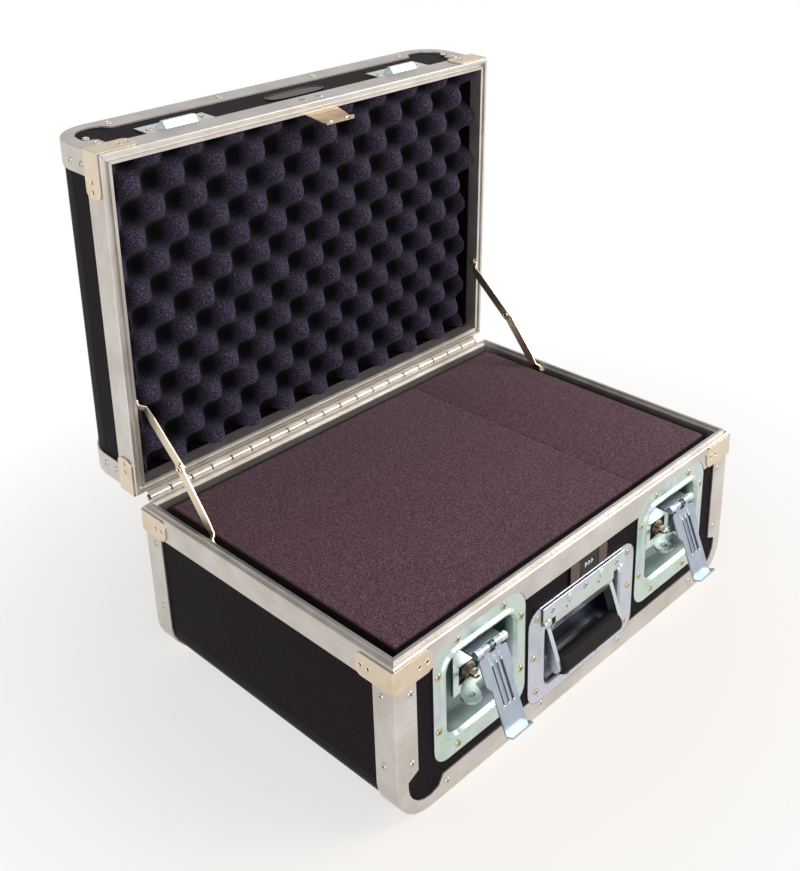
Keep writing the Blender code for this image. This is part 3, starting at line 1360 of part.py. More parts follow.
def stays(base, lid_axis):
    """A pair of lid stays. Each has two links that fold flat in the channel beside the foam."""
    foot, centre, opened = stay_points()
    for column, side in (("left", -1), ("right", 1)):
        lower_axis = pivot(f"{column}_stay_foot_axis", foot)
        centre_axis = pivot(f"{column}_stay_centre_axis", centre, lower_axis)
        lower, wall, lower_in = stay_link(
            f"{column}_stay_lower", foot, centre, side, True, True, lower_axis,
        )
        upper, wall, upper_in = stay_link(
            f"{column}_stay_upper", opened, centre, side, False, False, centre_axis,
        )

        def stud(name, place, start, end, radius, parent):
            offset = Vector((side, 0, 0))
            return rod(name, place + offset * start, place + offset * end, radius, SMALL_SIDES,
                       None, parent)

        join(lower, stud(f"{column}_stay_foot_stud", foot, wall - STAY_THICKNESS - RIVET_HEIGHT,
                         wall + SEAT + RIM_FLANGE, STUD_RADIUS, lower_axis))
        join(lower, stud(f"{column}_stay_foot_head", foot, wall - STAY_THICKNESS - RIVET_HEIGHT,
                         wall - STAY_THICKNESS / 2, RIVET_RADIUS, lower_axis))
        join(upper, stud(f"{column}_stay_lid_head", opened, wall - STAY_THICKNESS - RIVET_HEIGHT,
                         wall - STAY_THICKNESS / 2, RIVET_RADIUS, centre_axis))
        inner = wall - upper_in - STAY_THICKNESS - RIVET_HEIGHT
        outer = wall - lower_in
        join(upper, stud(f"{column}_stay_centre_stud", centre, inner, outer + RIVET_HEIGHT / 2,
                         STUD_RADIUS, centre_axis))
        join(upper, stud(f"{column}_stay_centre_head", centre, inner,
                         inner + RIVET_HEIGHT + STAY_THICKNESS / 2, RIVET_RADIUS, centre_axis))
        cut(lower, stud(f"{column}_stay_centre_hole", centre, wall - STAY_JOG * 2, wall,
                        STUD_RADIUS + STUD_CLEARANCE, lower_axis))
        cut(base[column + "_rim"], stud(f"{column}_rim_hole", foot, wall - OVERRUN,
                                        wall + SEAT + RIM_FLANGE + SEAT,
                                        STUD_RADIUS + STUD_CLEARANCE, None))


clear_scene()
origin = pivot(ROOT, (0, 0, 0))
origin.location = (0, PANEL_Y + SEAT + EDGE_THICKNESS - EDGE_LEG / 2, SEAT + EDGE_THICKNESS)
lid_axis = pivot("lid_axis", (0, HINGE_Y, HINGE_Z))
lid_axis.rotation_euler.x = -LID_OPEN_ANGLE
ROTATE_OPEN = lid_axis.rotation_euler.copy()

base = Shell("base", BASE_HEIGHT, None, False).build()
lid = Shell("lid", LID_HEIGHT, lid_axis, True).build()
for column, centre in (("left", -LATCH_X), ("right", LATCH_X)):
    Latch(column, centre, base).build()
    keeper(column, centre, lid_axis)
handle(base)
lock(base)
catch_tab(lid_axis)
hinge_leaf("hinge_leaf_base", 0, aluminium(), None, False)
hinge_leaf("hinge_leaf_lid", 1, aluminium(), lid_axis, True)
base_foam()
lid_foam(lid_axis)
stays(base, lid_axis)
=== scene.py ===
# %% [markdown]
# # A shipping case with its lid open
# The case is a plywood shell covered in a pebbled black laminate. Aluminium extrusions wrap its
# edges, nickel caps tie the rims' corners, and zinc plated dishes hold the latches and the
# handle. The CAD model gives every rigid part its shape. This script gives each one its finish,
# replaces the plain foam solids with cut foam, and adds what is too fine for CAD, such as rivets.

import json
import math

import bmesh
import bpy
import numpy as np
from mathutils import Matrix, Vector


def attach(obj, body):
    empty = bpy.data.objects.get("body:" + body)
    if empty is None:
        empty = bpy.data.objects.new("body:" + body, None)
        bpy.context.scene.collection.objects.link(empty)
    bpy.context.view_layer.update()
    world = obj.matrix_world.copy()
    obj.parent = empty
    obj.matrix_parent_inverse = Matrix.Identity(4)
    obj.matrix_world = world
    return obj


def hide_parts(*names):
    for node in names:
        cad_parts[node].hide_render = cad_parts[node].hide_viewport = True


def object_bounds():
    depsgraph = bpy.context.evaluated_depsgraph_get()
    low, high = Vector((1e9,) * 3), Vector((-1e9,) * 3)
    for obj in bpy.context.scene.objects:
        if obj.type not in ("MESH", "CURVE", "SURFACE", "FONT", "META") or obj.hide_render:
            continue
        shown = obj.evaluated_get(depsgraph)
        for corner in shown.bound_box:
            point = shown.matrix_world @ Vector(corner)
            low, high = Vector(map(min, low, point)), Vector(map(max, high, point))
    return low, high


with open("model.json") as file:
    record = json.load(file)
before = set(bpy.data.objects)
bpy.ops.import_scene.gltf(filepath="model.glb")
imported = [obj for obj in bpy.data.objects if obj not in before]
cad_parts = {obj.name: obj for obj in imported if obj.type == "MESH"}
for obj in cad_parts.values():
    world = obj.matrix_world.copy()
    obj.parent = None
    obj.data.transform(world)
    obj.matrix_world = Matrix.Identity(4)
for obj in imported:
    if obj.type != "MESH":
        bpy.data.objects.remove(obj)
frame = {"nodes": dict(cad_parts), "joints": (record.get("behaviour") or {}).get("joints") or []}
cad_low, cad_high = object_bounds()
MM = 0.001
print("CAD box in mm:", [round(v / MM, 1) for v in (*cad_low, *cad_high)])

# %% [markdown]
# The lid stands open at rest, as in the photograph. Places on it are easier to give with the lid
# shut, so the hinge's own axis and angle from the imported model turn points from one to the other.

# %% The hinge turn
joints = {joint["name"]: joint for joint in frame["joints"]}
HINGE_POINT = np.array(joints["lid_hinge"]["pos_m"])
OPEN_ANGLE = math.radians(joints["lid_hinge"]["range_deg"][1])


def swing(points, angle):
    """Turn points about the hinge line: y and z rotate by the angle, x stays."""
    turned = np.asarray(points, float) - HINGE_POINT
    y, z = turned[..., 1].copy(), turned[..., 2].copy()
    turned[..., 1] = y * math.cos(angle) - z * math.sin(angle)
    turned[..., 2] = y * math.sin(angle) + z * math.cos(angle)
    return turned + HINGE_POINT


def points_of(mesh):
    """All vertices of a mesh as rows of x, y, z in metres."""
    flat = np.zeros(len(mesh.vertices) * 3)
    mesh.vertices.foreach_get("co", flat)
    return flat.reshape(-1, 3)


def node_box(node, shut=False):
    """Lowest and highest corner of a CAD node, with the lid as it stands or shut."""
    points = points_of(frame["nodes"][node].data)
    if shut:
        points = swing(points, OPEN_ANGLE)
    return points.min(0), points.max(0)


print("hinge line at", HINGE_POINT, "opens by", round(math.degrees(OPEN_ANGLE), 1), "degrees")

# %% [markdown]
# The camera stands high at the case's front left corner. Its place was found by matching the case's
# straight edges to the photograph, so distance, lens and shift are those of a lens of about 50 mm.

# %% Camera
PHOTO_WIDTH, PHOTO_HEIGHT = 800, 871
FOCAL_PIXELS = 1197.3
CENTRE_PIXEL = (438.4, 280.7)
CAMERA_AZIMUTH = math.radians(-46.22)
CAMERA_HEIGHT_ANGLE = math.radians(22.51)
CAMERA_ROLL = math.radians(-1.00)
CAMERA_DISTANCE = 1044.4 * MM
CAMERA_TARGET = Vector((-77.0, 98.9, 422.6)) * MM
SENSOR = 36.0


def photo_camera():
    """A camera looking along the measured azimuth and height, rolled about its own axis."""
    level = math.cos(CAMERA_HEIGHT_ANGLE)
    back = Vector((
        math.sin(CAMERA_AZIMUTH) * level,
        -math.cos(CAMERA_AZIMUTH) * level,
        math.sin(CAMERA_HEIGHT_ANGLE),
    ))
    flat_right = (-back).cross(Vector((0, 0, 1))).normalized()
    flat_up = flat_right.cross(-back)
    right = flat_right * math.cos(CAMERA_ROLL) + flat_up * math.sin(CAMERA_ROLL)
    up = flat_up * math.cos(CAMERA_ROLL) - flat_right * math.sin(CAMERA_ROLL)
    data = bpy.data.cameras.new("photo_camera")
    data.sensor_width = SENSOR
    data.lens = FOCAL_PIXELS * SENSOR / PHOTO_HEIGHT
    data.shift_x = (PHOTO_WIDTH / 2 - CENTRE_PIXEL[0]) / PHOTO_HEIGHT
    data.shift_y = (CENTRE_PIXEL[1] - PHOTO_HEIGHT / 2) / PHOTO_HEIGHT
    data.clip_start, data.clip_end = 0.05, 50.0
    camera = bpy.data.objects.new("photo_camera", data)
    turned = Matrix((right, up, back)).transposed().to_4x4()
    camera.matrix_world = Matrix.Translation(CAMERA_TARGET + back * CAMERA_DISTANCE) @ turned
    bpy.context.scene.collection.objects.link(camera)
    bpy.context.scene.camera = camera
    return camera


camera = photo_camera()
print("camera at", [round(v, 3) for v in camera.location], "lens", round(camera.data.lens, 1))

# %% [markdown]
# Each finish below is a small graph of shader nodes. One function adds a node, sets its options and
# fills or links its sockets, so each material reads as a short list. Colours are written as the
# hex values seen on a screen, and one function turns them to the linear numbers a shader works in.

# %% Helpers for materials
MIX_SHARE, MIX_FIRST, MIX_SECOND, MIX_RESULT = 0, 6, 7, 2


def linear(hex_colour, alpha=1.0):
    """sRGB hex to linear: c / 12.92 below 0.04045, else ((c + 0.055) / 1.055) to the power 2.4."""
    shares = np.array([int(hex_colour[i : i + 2], 16) / 255 for i in (1, 3, 5)])
    values = np.where(shares <= 0.04045, shares / 12.92, ((shares + 0.055) / 1.055) ** 2.4)
    return (*values, alpha)


def fill(tree, node, sockets):
    """Give each named socket of a node its value, or link it to an output."""
    for name, value in dict(sockets).items():
        if isinstance(value, bpy.types.NodeSocket):
            tree.links.new(value, node.inputs[name])
        else:
            node.inputs[name].default_value = value


def add_node(tree, kind, sockets=(), stops=(), **settings):
    """Add a shader node with its options, its sockets and, on a colour ramp, its hex stops."""
    node = tree.nodes.new("ShaderNode" + kind)
    for name, value in settings.items():
        setattr(node, name, value)
    fill(tree, node, sockets)
    for index, (place, colour) in enumerate(stops):
        elements = node.color_ramp.elements
        element = elements[index] if index < 2 else elements.new(place)
        element.position, element.color = place, linear(colour)
    return node


def new_finish(name):
    """A new material with its tree and its Object coordinates."""
    finish = bpy.data.materials.new(name)
    finish.use_nodes = True
    tree = finish.node_tree
    where = add_node(tree, "TexCoord").outputs["Object"]
    return finish, tree, where


def surface(tree, tone, relief, gloss, others=(), invert=False):
    """Link a material's shader: tone is a pattern and its stops, relief a pattern with the bump's
    strength and depth, gloss a pattern with its least and greatest roughness."""
    colour = add_node(tree, "ValToRGB", {"Fac": tone[0]}, tone[1])
    bump = add_node(tree, "Bump", zip(("Height", "Strength", "Distance"), relief), invert=invert)
    rough = add_node(tree, "MapRange", zip(("Value", "To Min", "To Max"), gloss))
    fill(tree, tree.nodes["Principled BSDF"], {
        "Base Color": colour.outputs["Color"],
        "Normal": bump.outputs["Normal"],
        "Roughness": rough.outputs["Result"],
        **dict(others),
    })


def shaded(finish, pattern, stops):
    """Multiply a finish's base colour by a pattern's tones, where white leaves it as it is."""
    tree = finish.node_tree
    shader = tree.nodes["Principled BSDF"]
    tone = shader.inputs["Base Color"].links[0].from_socket
    shade = add_node(tree, "ValToRGB", {"Fac": pattern}, stops).outputs["Color"]
    mixed = add_node(
        tree,
        "Mix",
        {MIX_SHARE: 1.0, MIX_FIRST: tone, MIX_SECOND: shade},
        data_type="RGBA",
        blend_type="MULTIPLY",
    )
    fill(tree, shader, {"Base Color": mixed.outputs[MIX_RESULT]})


def per_metre(size_mm):
    """A pattern scale in cells per metre, from the size of one cell in millimetres."""
    return 1.0 / (size_mm * MM)


# %% [markdown]
# The shell's skin is a thin plastic laminate with a rolled-in pebble grain. The eye reads it by the
# small glints between the pebbles. A Voronoi pattern gives rounded cells, and its distance goes to
# the bump, so each cell has a domed top and a dark valley round it. Real pebbles are about half as
# wide: they are drawn as coarse as they need to show at this distance.

# %% Pebbled laminate
PEBBLE_MM, PEBBLE_HEIGHT = 1.9, 0.4 * MM
LAMINATE_CLOUD_MM = 60


def pebbled_laminate():
    """Near-black warm plastic: pebbles in tone and bump, and a slow change of tone and gloss."""
    finish, tree, where = new_finish("pebbled_laminate")
    cells = add_node(
        tree, "TexVoronoi", {"Vector": where, "Scale": per_metre(PEBBLE_MM)}, feature="SMOOTH_F1"
    ).outputs["Distance"]
    clouds = add_node(
        tree, "TexNoise", {"Vector": where, "Scale": per_metre(LAMINATE_CLOUD_MM), "Detail": 3.0},
    ).outputs["Fac"]
    surface(
        tree, (cells, ((0.1, "#23151d"), (0.6, "#040103"))), (cells, 0.5, PEBBLE_HEIGHT),
        (clouds, 0.5, 0.62), {"Specular IOR Level": 0.07}, invert=True,
    )
    shaded(finish, clouds, ((0.3, "#cfcfcf"), (0.7, "#ffffff")))
    return finish


LAMINATE = pebbled_laminate()
print("laminate ready, pebbles of", PEBBLE_MM, "mm")

# %% [markdown]
# The edges are extruded aluminium, as it came from the die: pale, slightly warm, with long faint
# lines along each length, drawn coarser than real so that they show. They come from noise squeezed
# across the length, in one finish for each axis. A U-shaped edging takes its longest side's axis.

# %% Extruded aluminium
DRAWN_LINE_MM, DRAWN_LENGTH_MM = 1.1, 90
OXIDE_CLOUD_MM = 30


def extruded_aluminium(name, along):
    """Bare aluminium: faint drawn lines along one axis, soft clouds of oxide and handling."""
    finish, tree, where = new_finish(name)
    scale = [per_metre(DRAWN_LINE_MM)] * 3
    scale[along] = per_metre(DRAWN_LENGTH_MM)
    squeezed = add_node(tree, "Mapping", {"Vector": where, "Scale": scale})
    lines = add_node(
        tree, "TexNoise", {"Vector": squeezed.outputs["Vector"], "Scale": 1.0, "Detail": 2.0}
    ).outputs["Fac"]
    clouds = add_node(
        tree, "TexNoise", {"Vector": where, "Scale": per_metre(OXIDE_CLOUD_MM), "Detail": 5.0},
    ).outputs["Fac"]
    surface(
        tree, (lines, ((0.3, "#d1cdc8"), (0.7, "#dcd8d2"))), (lines, 0.05, 0.05 * MM),
        (clouds, 0.44, 0.5), {"Metallic": 1.0},
    )
    shaded(finish, clouds, ((0.3, "#ece8e4"), (0.7, "#ffffff")))
    return finish


ALUMINIUM = [extruded_aluminium(f"extruded_aluminium_{'xyz'[along]}", along) for along in range(3)]
print("aluminium ready along", len(ALUMINIUM), "axes")

# %% [markdown]
# The dishes, latch arms and keepers are pressed steel with clear zinc plating, whose cool, slightly
# blue-green cast drifts over a sheet. Nickel, plain steel and tempered spring are plated or rolled
# sheet too, so they differ in tone and gloss alone. The grain stands for a far finer grit, and is
# drawn as coarse as it needs to show.

# %% Plated steel
PLATING_DRIFT_MM, PLATING_GRAIN_MM = 25, 0.8
DRIFT_PLACES = (0.3, 0.5, 0.7)


def plated_steel(name, tones, rough_low, rough_high):
    """Plated sheet: three tones and the gloss drift over the sheet, under a fine grain."""
    finish, tree, where = new_finish(name)
    drift = add_node(
        tree, "TexNoise", {"Vector": where, "Scale": per_metre(PLATING_DRIFT_MM), "Detail": 3.0},
    ).outputs["Fac"]
    grain = add_node(
        tree, "TexNoise", {"Vector": where, "Scale": per_metre(PLATING_GRAIN_MM), "Detail": 1.0},
    ).outputs["Fac"]
    surface(
        tree, (drift, zip(DRIFT_PLACES, tones)), (grain, 0.12, 0.05 * MM),
        (drift, rough_low, rough_high), {"Metallic": 1.0},
    )
    return finish


ZINC = plated_steel("clear_zinc_plate", ("#c3cfc8", "#d3dbd7", "#ccccdc"), 0.26, 0.36)
ZINC_BLUE = plated_steel("blue_zinc_plate", ("#a0adba", "#b2bbc6", "#a6a9bc"), 0.26, 0.36)
NICKEL = plated_steel("nickel_plate", ("#d8c4aa", "#e3d3bc", "#dacdba"), 0.28, 0.4)
TAB_PLATE = plated_steel("tan_tab_plate", ("#b39a78", "#c8b293", "#bda78a"), 0.28, 0.4)
TAN_RIVET = plated_steel("tan_passivated_rivet", ("#b5a284", "#cbbb9f", "#bfab8c"), 0.24, 0.36)
RIVET_STEEL = plated_steel("plain_rivet_steel", ("#b9b2aa", "#cfc8c0", "#c3beb8"), 0.24, 0.36)
PAINTED_SHADE_DARK = plated_steel("dark_rivet_pit", ("#2f2a24", "#453d34", "#393430"), 0.5, 0.7)
GROOVE_DARK = plated_steel("shaded_arm_groove", ("#3f4452", "#4d5362", "#474b58"), 0.4, 0.5)
HINGE_STEEL = plated_steel("rolled_hinge_steel", ("#bdb3a6", "#cdc5ba", "#c4bcb2"), 0.34, 0.42)
BOSS_STEEL = plated_steel("stained_boss_steel", ("#7d7060", "#9a8f80", "#8b8680"), 0.3, 0.45)
WING_STEEL = plated_steel("shaded_wing_steel", ("#9aa8a4", "#b3c0b8", "#a3a9b2"), 0.26, 0.36)
TEMPERED = plated_steel("tempered_spring_steel", ("#5f5a52", "#7b7468", "#6d6a66"), 0.3, 0.42)
print("plated finishes ready")

# %% [markdown]
# A dish lies behind the panel, where it mirrors its own dark corners more than the room. Soft
# lamps alone don't darken it enough, so painted shade deepens its finish by place: with the depth
# behind the flange, and with the height, because the foot of a dish still sees the floor.

# %% Shade in the dishes
FLANGE_DEPTH, DISH_DEPTH = -11 * MM, -3 * MM
LEAST_RISE_SHARE = 0.25


def shaded_recess(finish, rise_low, rise_high, deep):
    """Paint shade into a finish: the product of a straight ramp on depth and one on height."""
    tree = finish.node_tree
    where = add_node(tree, "TexCoord").outputs["Object"]
    place = add_node(tree, "SeparateXYZ", {0: where}).outputs
    depth = add_node(
        tree,
        "MapRange",
        {"Value": place["Y"], "From Min": FLANGE_DEPTH, "From Max": DISH_DEPTH},
    )
    rise = add_node(
        tree,
        "MapRange",
        {
            "Value": place["Z"],
            "From Min": rise_low,
            "From Max": rise_high,
            "To Min": LEAST_RISE_SHARE,
        },
    )
    ramps = {0: depth.outputs["Result"], 1: rise.outputs["Result"]}
    share = add_node(tree, "Math", ramps, operation="MULTIPLY")
    shaded(finish, share.outputs[0], ((0.0, "#ffffff"), (1.0, deep)))


# Both dish finishes carry painted shade: darker deep in the dish and high up in it.
DISH_SHADED_ZINC = plated_steel("dish_zinc_plate", ("#bfd2c8", "#cfdfd6", "#c8cbd9"), 0.3, 0.4)
shaded_recess(DISH_SHADED_ZINC, 50 * MM, 95 * MM, "#4d5a60")
HANDLE_SHADED_ZINC = plated_steel("handle_zinc_plate", ("#c0c8cf", "#ced3dc", "#ccccdc"), 0.3, 0.4)
shaded_recess(HANDLE_SHADED_ZINC, 28 * MM, 46 * MM, "#2b2636")
print("dish finishes ready")

# %% [markdown]
# Polyether foam is a sponge cut with a blade: no gloss at all, and a speckle of open pores about a
# millimetre wide, drawn a little coarser so that it shows, in colour and bump. The lid's foam is
# cooler and darker than the base's. Two more darkenings follow the shape, both painted shade: the
# valleys of the lid's foam are painted darker than its peaks, and the sides of the base foam are
# painted dark from the top down, for the narrow gap they stand in.

# %% Cut foam
FOAM_TOP, FOAM_GAP_DEPTH = 172.0 * MM, 3.0 * MM


def cut_foam(name, dark, middle, pale, pore_mm):
    """Open-pored foam: a speckle of pores in colour and bump, fully rough with a little sheen."""
    finish, tree, where = new_finish(name)
    pores = add_node(
        tree, "TexNoise",
        {"Vector": where, "Scale": per_metre(pore_mm), "Detail": 3.0, "Roughness": 0.7},
    ).outputs["Fac"]
    stops = ((0.34, dark), (0.5, middle), (0.68, pale))
    tone = add_node(tree, "ValToRGB", {"Fac": pores}, stops)
    bump = add_node(tree, "Bump", {"Height": pores, "Strength": 0.6, "Distance": 0.8 * MM})
    fill(tree, tree.nodes["Principled BSDF"], {
        "Base Color": tone.outputs["Color"],
        "Normal": bump.outputs["Normal"],
        "Roughness": 1.0,
        "Specular IOR Level": 0.1,
        "Sheen Weight": 0.05,
        "Sheen Roughness": 0.6,
    })
    return finish


def shaded_valleys(finish, attribute):
    """Paint shade into a foam by the height stored on its piece: 0 in a valley, 1 on a peak."""
    tree = finish.node_tree
    height = add_node(tree, "Attribute", attribute_name=attribute)
    shaded(finish, height.outputs["Fac"], ((0.25, "#10112a"), (0.85, "#ffffff")))


def shaded_sides(finish, top, depth):
    """Paint shade into a foam in a straight ramp from its top down to a depth below it."""
    tree = finish.node_tree
    where = add_node(tree, "TexCoord").outputs["Object"]
    place = add_node(tree, "SeparateXYZ", {0: where}).outputs
    rise = add_node(
        tree, "MapRange", {"Value": place["Z"], "From Min": top - depth, "From Max": top}
    )
    shaded(finish, rise.outputs["Result"], ((0.0, "#2a2226"), (0.9, "#ffffff")))


BASE_FOAM = cut_foam("charcoal_foam", "#38222a", "#5c424a", "#8d6f79", 1.3)
# Painted shade on the base foam's sides, darker from its top down.
shaded_sides(BASE_FOAM, FOAM_TOP, FOAM_GAP_DEPTH)
# The liners sit lower, by the front and back walls: their foam is painted darker as shade.
SHADED_LINER_FOAM = cut_foam("charcoal_foam_liner", "#150f12", "#231b1f", "#3a3037", 1.8)
LID_FOAM = cut_foam("convoluted_foam", "#171428", "#2f2940", "#6e6070", 1.4)
# Painted shade in the lid foam's valleys.
shaded_valleys(LID_FOAM, "height")
print("foam ready")

# %% [markdown]
# The grip is moulded rubber and the lock is glossy plastic. Both are black, so only gloss tells
# them apart: the rubber is dull with a faint mould texture, the plastic has a sharper shine. The
# same graph in other tones gives the lock's brown buttons and the white paint in the dials' digits.

# %% Rubber, plastic and paint
GLOSS_DRIFT = 0.05


def moulded(name, dark, pale, rough, grain_mm, depth_mm):
    """A moulded or filled surface: two near tones and the gloss follow one fine shallow grain."""
    finish, tree, where = new_finish(name)
    grain = add_node(
        tree, "TexNoise", {"Vector": where, "Scale": per_metre(grain_mm), "Detail": 2.0},
    ).outputs["Fac"]
    surface(
        tree, (grain, ((0.35, dark), (0.65, pale))), (grain, 0.3, depth_mm * MM),
        (grain, rough - GLOSS_DRIFT, rough + GLOSS_DRIFT),
    )
    return finish


RUBBER = moulded("moulded_rubber", "#0f0c0a", "#1d1814", 0.7, 1.2, 0.15)
PLASTIC = moulded("glossy_black_plastic", "#0d0b0c", "#171415", 0.25, 3.0, 0.03)
for finish, specular in ((RUBBER, 0.22), (PLASTIC, 0.2)):
    finish.node_tree.nodes["Principled BSDF"].inputs["Specular IOR Level"].default_value = specular
WHITE_PAINT = moulded("white_fill_paint", "#e4e1db", "#f2f0ec", 0.5, 0.8, 0.02)
LOCK_BUTTON = moulded("brown_lock_button", "#3f2e2a", "#54403a", 0.45, 2.0, 0.05)
print("rubber, plastic and paint ready")

# %% [markdown]
# Each CAD node keeps its mesh and gets its finish through its material slots. The direction of the
# aluminium's drawn lines follows the way each extrusion runs, which its own box tells.

# %% Dress the CAD nodes
SLOT_FINISHES = {
    "laminate": LAMINATE,
    "nickel_steel": NICKEL,
    "zinc_steel": ZINC,
    "spring_steel": TEMPERED,
    "rubber": RUBBER,
    "black_plastic": PLASTIC,
    "foam": SHADED_LINER_FOAM,
}
NODE_FINISHES = {"handle_dish": HANDLE_SHADED_ZINC, "lid_catch_tab": TAB_PLATE}
for side in ("left", "right"):
    NODE_FINISHES[f"{side}_latch_arm"] = ZINC_BLUE
    NODE_FINISHES[f"{side}_latch_cam"] = BOSS_STEEL
    NODE_FINISHES[f"{side}_latch_wing"] = WING_STEEL
    NODE_FINISHES[f"{side}_latch_dish"] = DISH_SHADED_ZINC


def finish_for(node, cad):
    """The node's own finish, or its CAD material's, or aluminium drawn along its longest side."""
    cad_name = cad.material_slots[0].material.name.split(".")[0]
    low, high = node_box(node)
    drawn = ALUMINIUM[int(np.argmax(high - low))]
    return NODE_FINISHES.get(node, SLOT_FINISHES.get(cad_name, drawn))


for node, cad in frame["nodes"].items():
    finish = finish_for(node, cad)
    for slot in cad.material_slots:
        slot.material = finish
print("dressed", len(frame["nodes"]), "CAD nodes")

# %% [markdown]
# A new piece is a set of points worked out by a formula and joined by faces. These functions give a
# mesh its finish, shade it smooth up to a chosen angle, and let it ride on its CAD body.

# %% Helpers for meshes


def finished(name, mesh, finish, body, sharp):
    """Smooth a mesh up to an angle in degrees and make it a piece that rides on a CAD body."""
    mesh.polygons.foreach_set("use_smooth", np.ones(len(mesh.polygons), bool))
    mesh.set_sharp_from_angle(angle=math.radians(sharp))
    mesh.materials.append(finish)
    mesh.update()
    piece = bpy.data.objects.new(name, mesh)
    bpy.context.scene.collection.objects.link(piece)
    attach(piece, body)
    return piece


def new_piece(name, points, faces, finish, body, sharp=35.0):
    """Make a piece from points in metres and lists of vertex numbers."""
    mesh = bpy.data.meshes.new(name)
    mesh.from_pydata(np.asarray(points).tolist(), [], faces)
    return finished(name, mesh, finish, body, sharp)


def grid_faces(rows, columns, wrap=False, start=0):
    """Quads of a grid of points numbered from start, joined round if wrap is set."""
    row, column = np.meshgrid(
        np.arange(rows - 1), np.arange(columns if wrap else columns - 1), indexing="ij"
    )
    here, below = row * columns, (row + 1) * columns
    after = (column + 1) % columns
    corners = np.stack([here + column, here + after, below + after, below + column], -1)
    return (corners.reshape(-1, 4) + start).tolist()


def revolved(profile, sides):
    """A closed solid turned about z: ring k has radius profile[k][0] at height profile[k][1],
    from a flat foot to a pole. Returns points and faces."""
    radii, heights = np.array(profile[:-1]).T
    angles = np.arange(sides) * 2 * math.pi / sides
    across = [radii[:, None] * np.cos(angles), radii[:, None] * np.sin(angles)]
    rings = np.stack([*across, np.repeat(heights[:, None], sides, 1)], -1).reshape(-1, 3)
    points = np.vstack([rings, [[0, 0, profile[-1][1]]]])
    last = (len(radii) - 1) * sides
    faces = grid_faces(len(radii), sides, wrap=True)
    faces += [[last + i, last + (i + 1) % sides, len(points) - 1] for i in range(sides)]
    faces.append(list(range(sides))[::-1])
    return points, faces


# %% [markdown]
# The case has many small turned shapes: rivet heads, bosses, knuckles. A shape is worked out once,
# and a row of it is the same points turned to face outwards and moved to each place, joined in one
# piece for each body. On the lid, places are given with the lid shut and swung open together.

# %% Turned shapes in rows
FRONT, BACK, LEFT, RIGHT = (0, -1, 0), (0, 1, 0), (-1, 0, 0), (1, 0, 0)
TURNED_SHARP = 50


def facing(normal):
    """Three columns: two directions in the surface and the surface's normal."""
    normal = np.array(normal, float) / np.linalg.norm(normal)
    guide = np.array((0.0, 0.0, 1.0)) if abs(normal[2]) < 0.9 else np.array((1.0, 0.0, 0.0))
    across = np.cross(guide, normal)
    across /= np.linalg.norm(across)
    return np.stack([across, np.cross(normal, across), normal], -1)


def repeated(name, shape, places, finish, body, lid=False):
    """One shape at many places, each a point, the direction it faces and, if it isn't round, how it
    is stretched along its own axes: point = shape * stretch, turned that way, plus place."""
    head, head_faces = shape
    points, faces = [], []
    for index, (place, normal, *stretch) in enumerate(places):
        placed = head * np.array(stretch or 1.0) @ facing(normal).T + np.array(place)
        points.append(swing(placed, -OPEN_ANGLE) if lid else placed)
        faces += [[v + index * len(head) for v in face] for face in head_faces]
    print(name, len(places), "copies")
    return new_piece(name, np.vstack(points), faces, finish, body, TURNED_SHARP)


# %% [markdown]
# Rivets hold everything on this case. A tubular rivet has a low domed head with a dimple where
# the tool pressed it, and the dimple is painted dark as shade in its hollow. A solid rivet has a
# plain dome.

# %% Rivet heads
RIVET_SIDES, DOME_SIDES, DOME_RINGS = 14, 18, 6
RIVET_SINK = 0.3 * MM
RIVET_SHARES = (
    (1.0, 0.25), (0.88, 0.72), (0.68, 1.0), (0.54, 0.98), (0.44, 0.2), (0.0, 0.1),
)


def rivets(name, places, finish, body, slot, radius, height, lid=False):
    """Rivet heads: edge, shoulder, crown, lip, dimple and pole as shares of radius, height."""
    profile = [(radius, -RIVET_SINK)] + [(radius * r, height * h) for r, h in RIVET_SHARES]
    head = revolved(profile, RIVET_SIDES)
    piece = repeated(name, head, places, finish, body, lid)
    # The dimple takes the dark finish: painted shade in its hollow.
    piece.data.materials.append(PAINTED_SHADE_DARK)
    dimple = np.zeros(len(head[1]), np.int32)
    dimple[-1 - RIVET_SIDES : -1] = 1
    piece.data.polygons.foreach_set("material_index", np.tile(dimple, len(places)))
    return piece


def domes(name, places, finish, body, slot, radius, height, lid=False):
    """Plain domed heads: a quarter ellipse, radius by height."""
    quarter = np.linspace(0, math.pi / 2, DOME_RINGS)
    profile = [(radius, -RIVET_SINK)]
    profile += [(radius * math.cos(a), height * math.sin(a)) for a in quarter]
    return repeated(name, revolved(profile, DOME_SIDES), places, finish, body, lid)


# %% [markdown]
# Eight tan rivets hold each latch dish: two on each side of its flange. Their places are measured
# from the dish's own box, so they stay on the flange.

# %% Rivets of the latch dishes
DISH_RIVET = 3.6 * MM, 1.2 * MM
DISH_FLANGE_IN = 2.2 * MM
for side in ("left", "right"):
    low, high = node_box(f"{side}_latch_dish")
    middle_x = (low[0] + high[0]) / 2
    spots = [
        ((middle_x + sign * across * MM, low[1] + DISH_FLANGE_IN, z), FRONT)
        for across, z in (
            (30, high[2] - 7.0 * MM),
            (54, high[2] - 31.5 * MM),
            (54, low[2] + 36.5 * MM),
            (30, low[2] + 7.8 * MM),
        )
        for sign in (-1, 1)
    ]
    rivets(f"{side}_dish_rivets", spots, TAN_RIVET, "base", "zinc_steel", *DISH_RIVET)
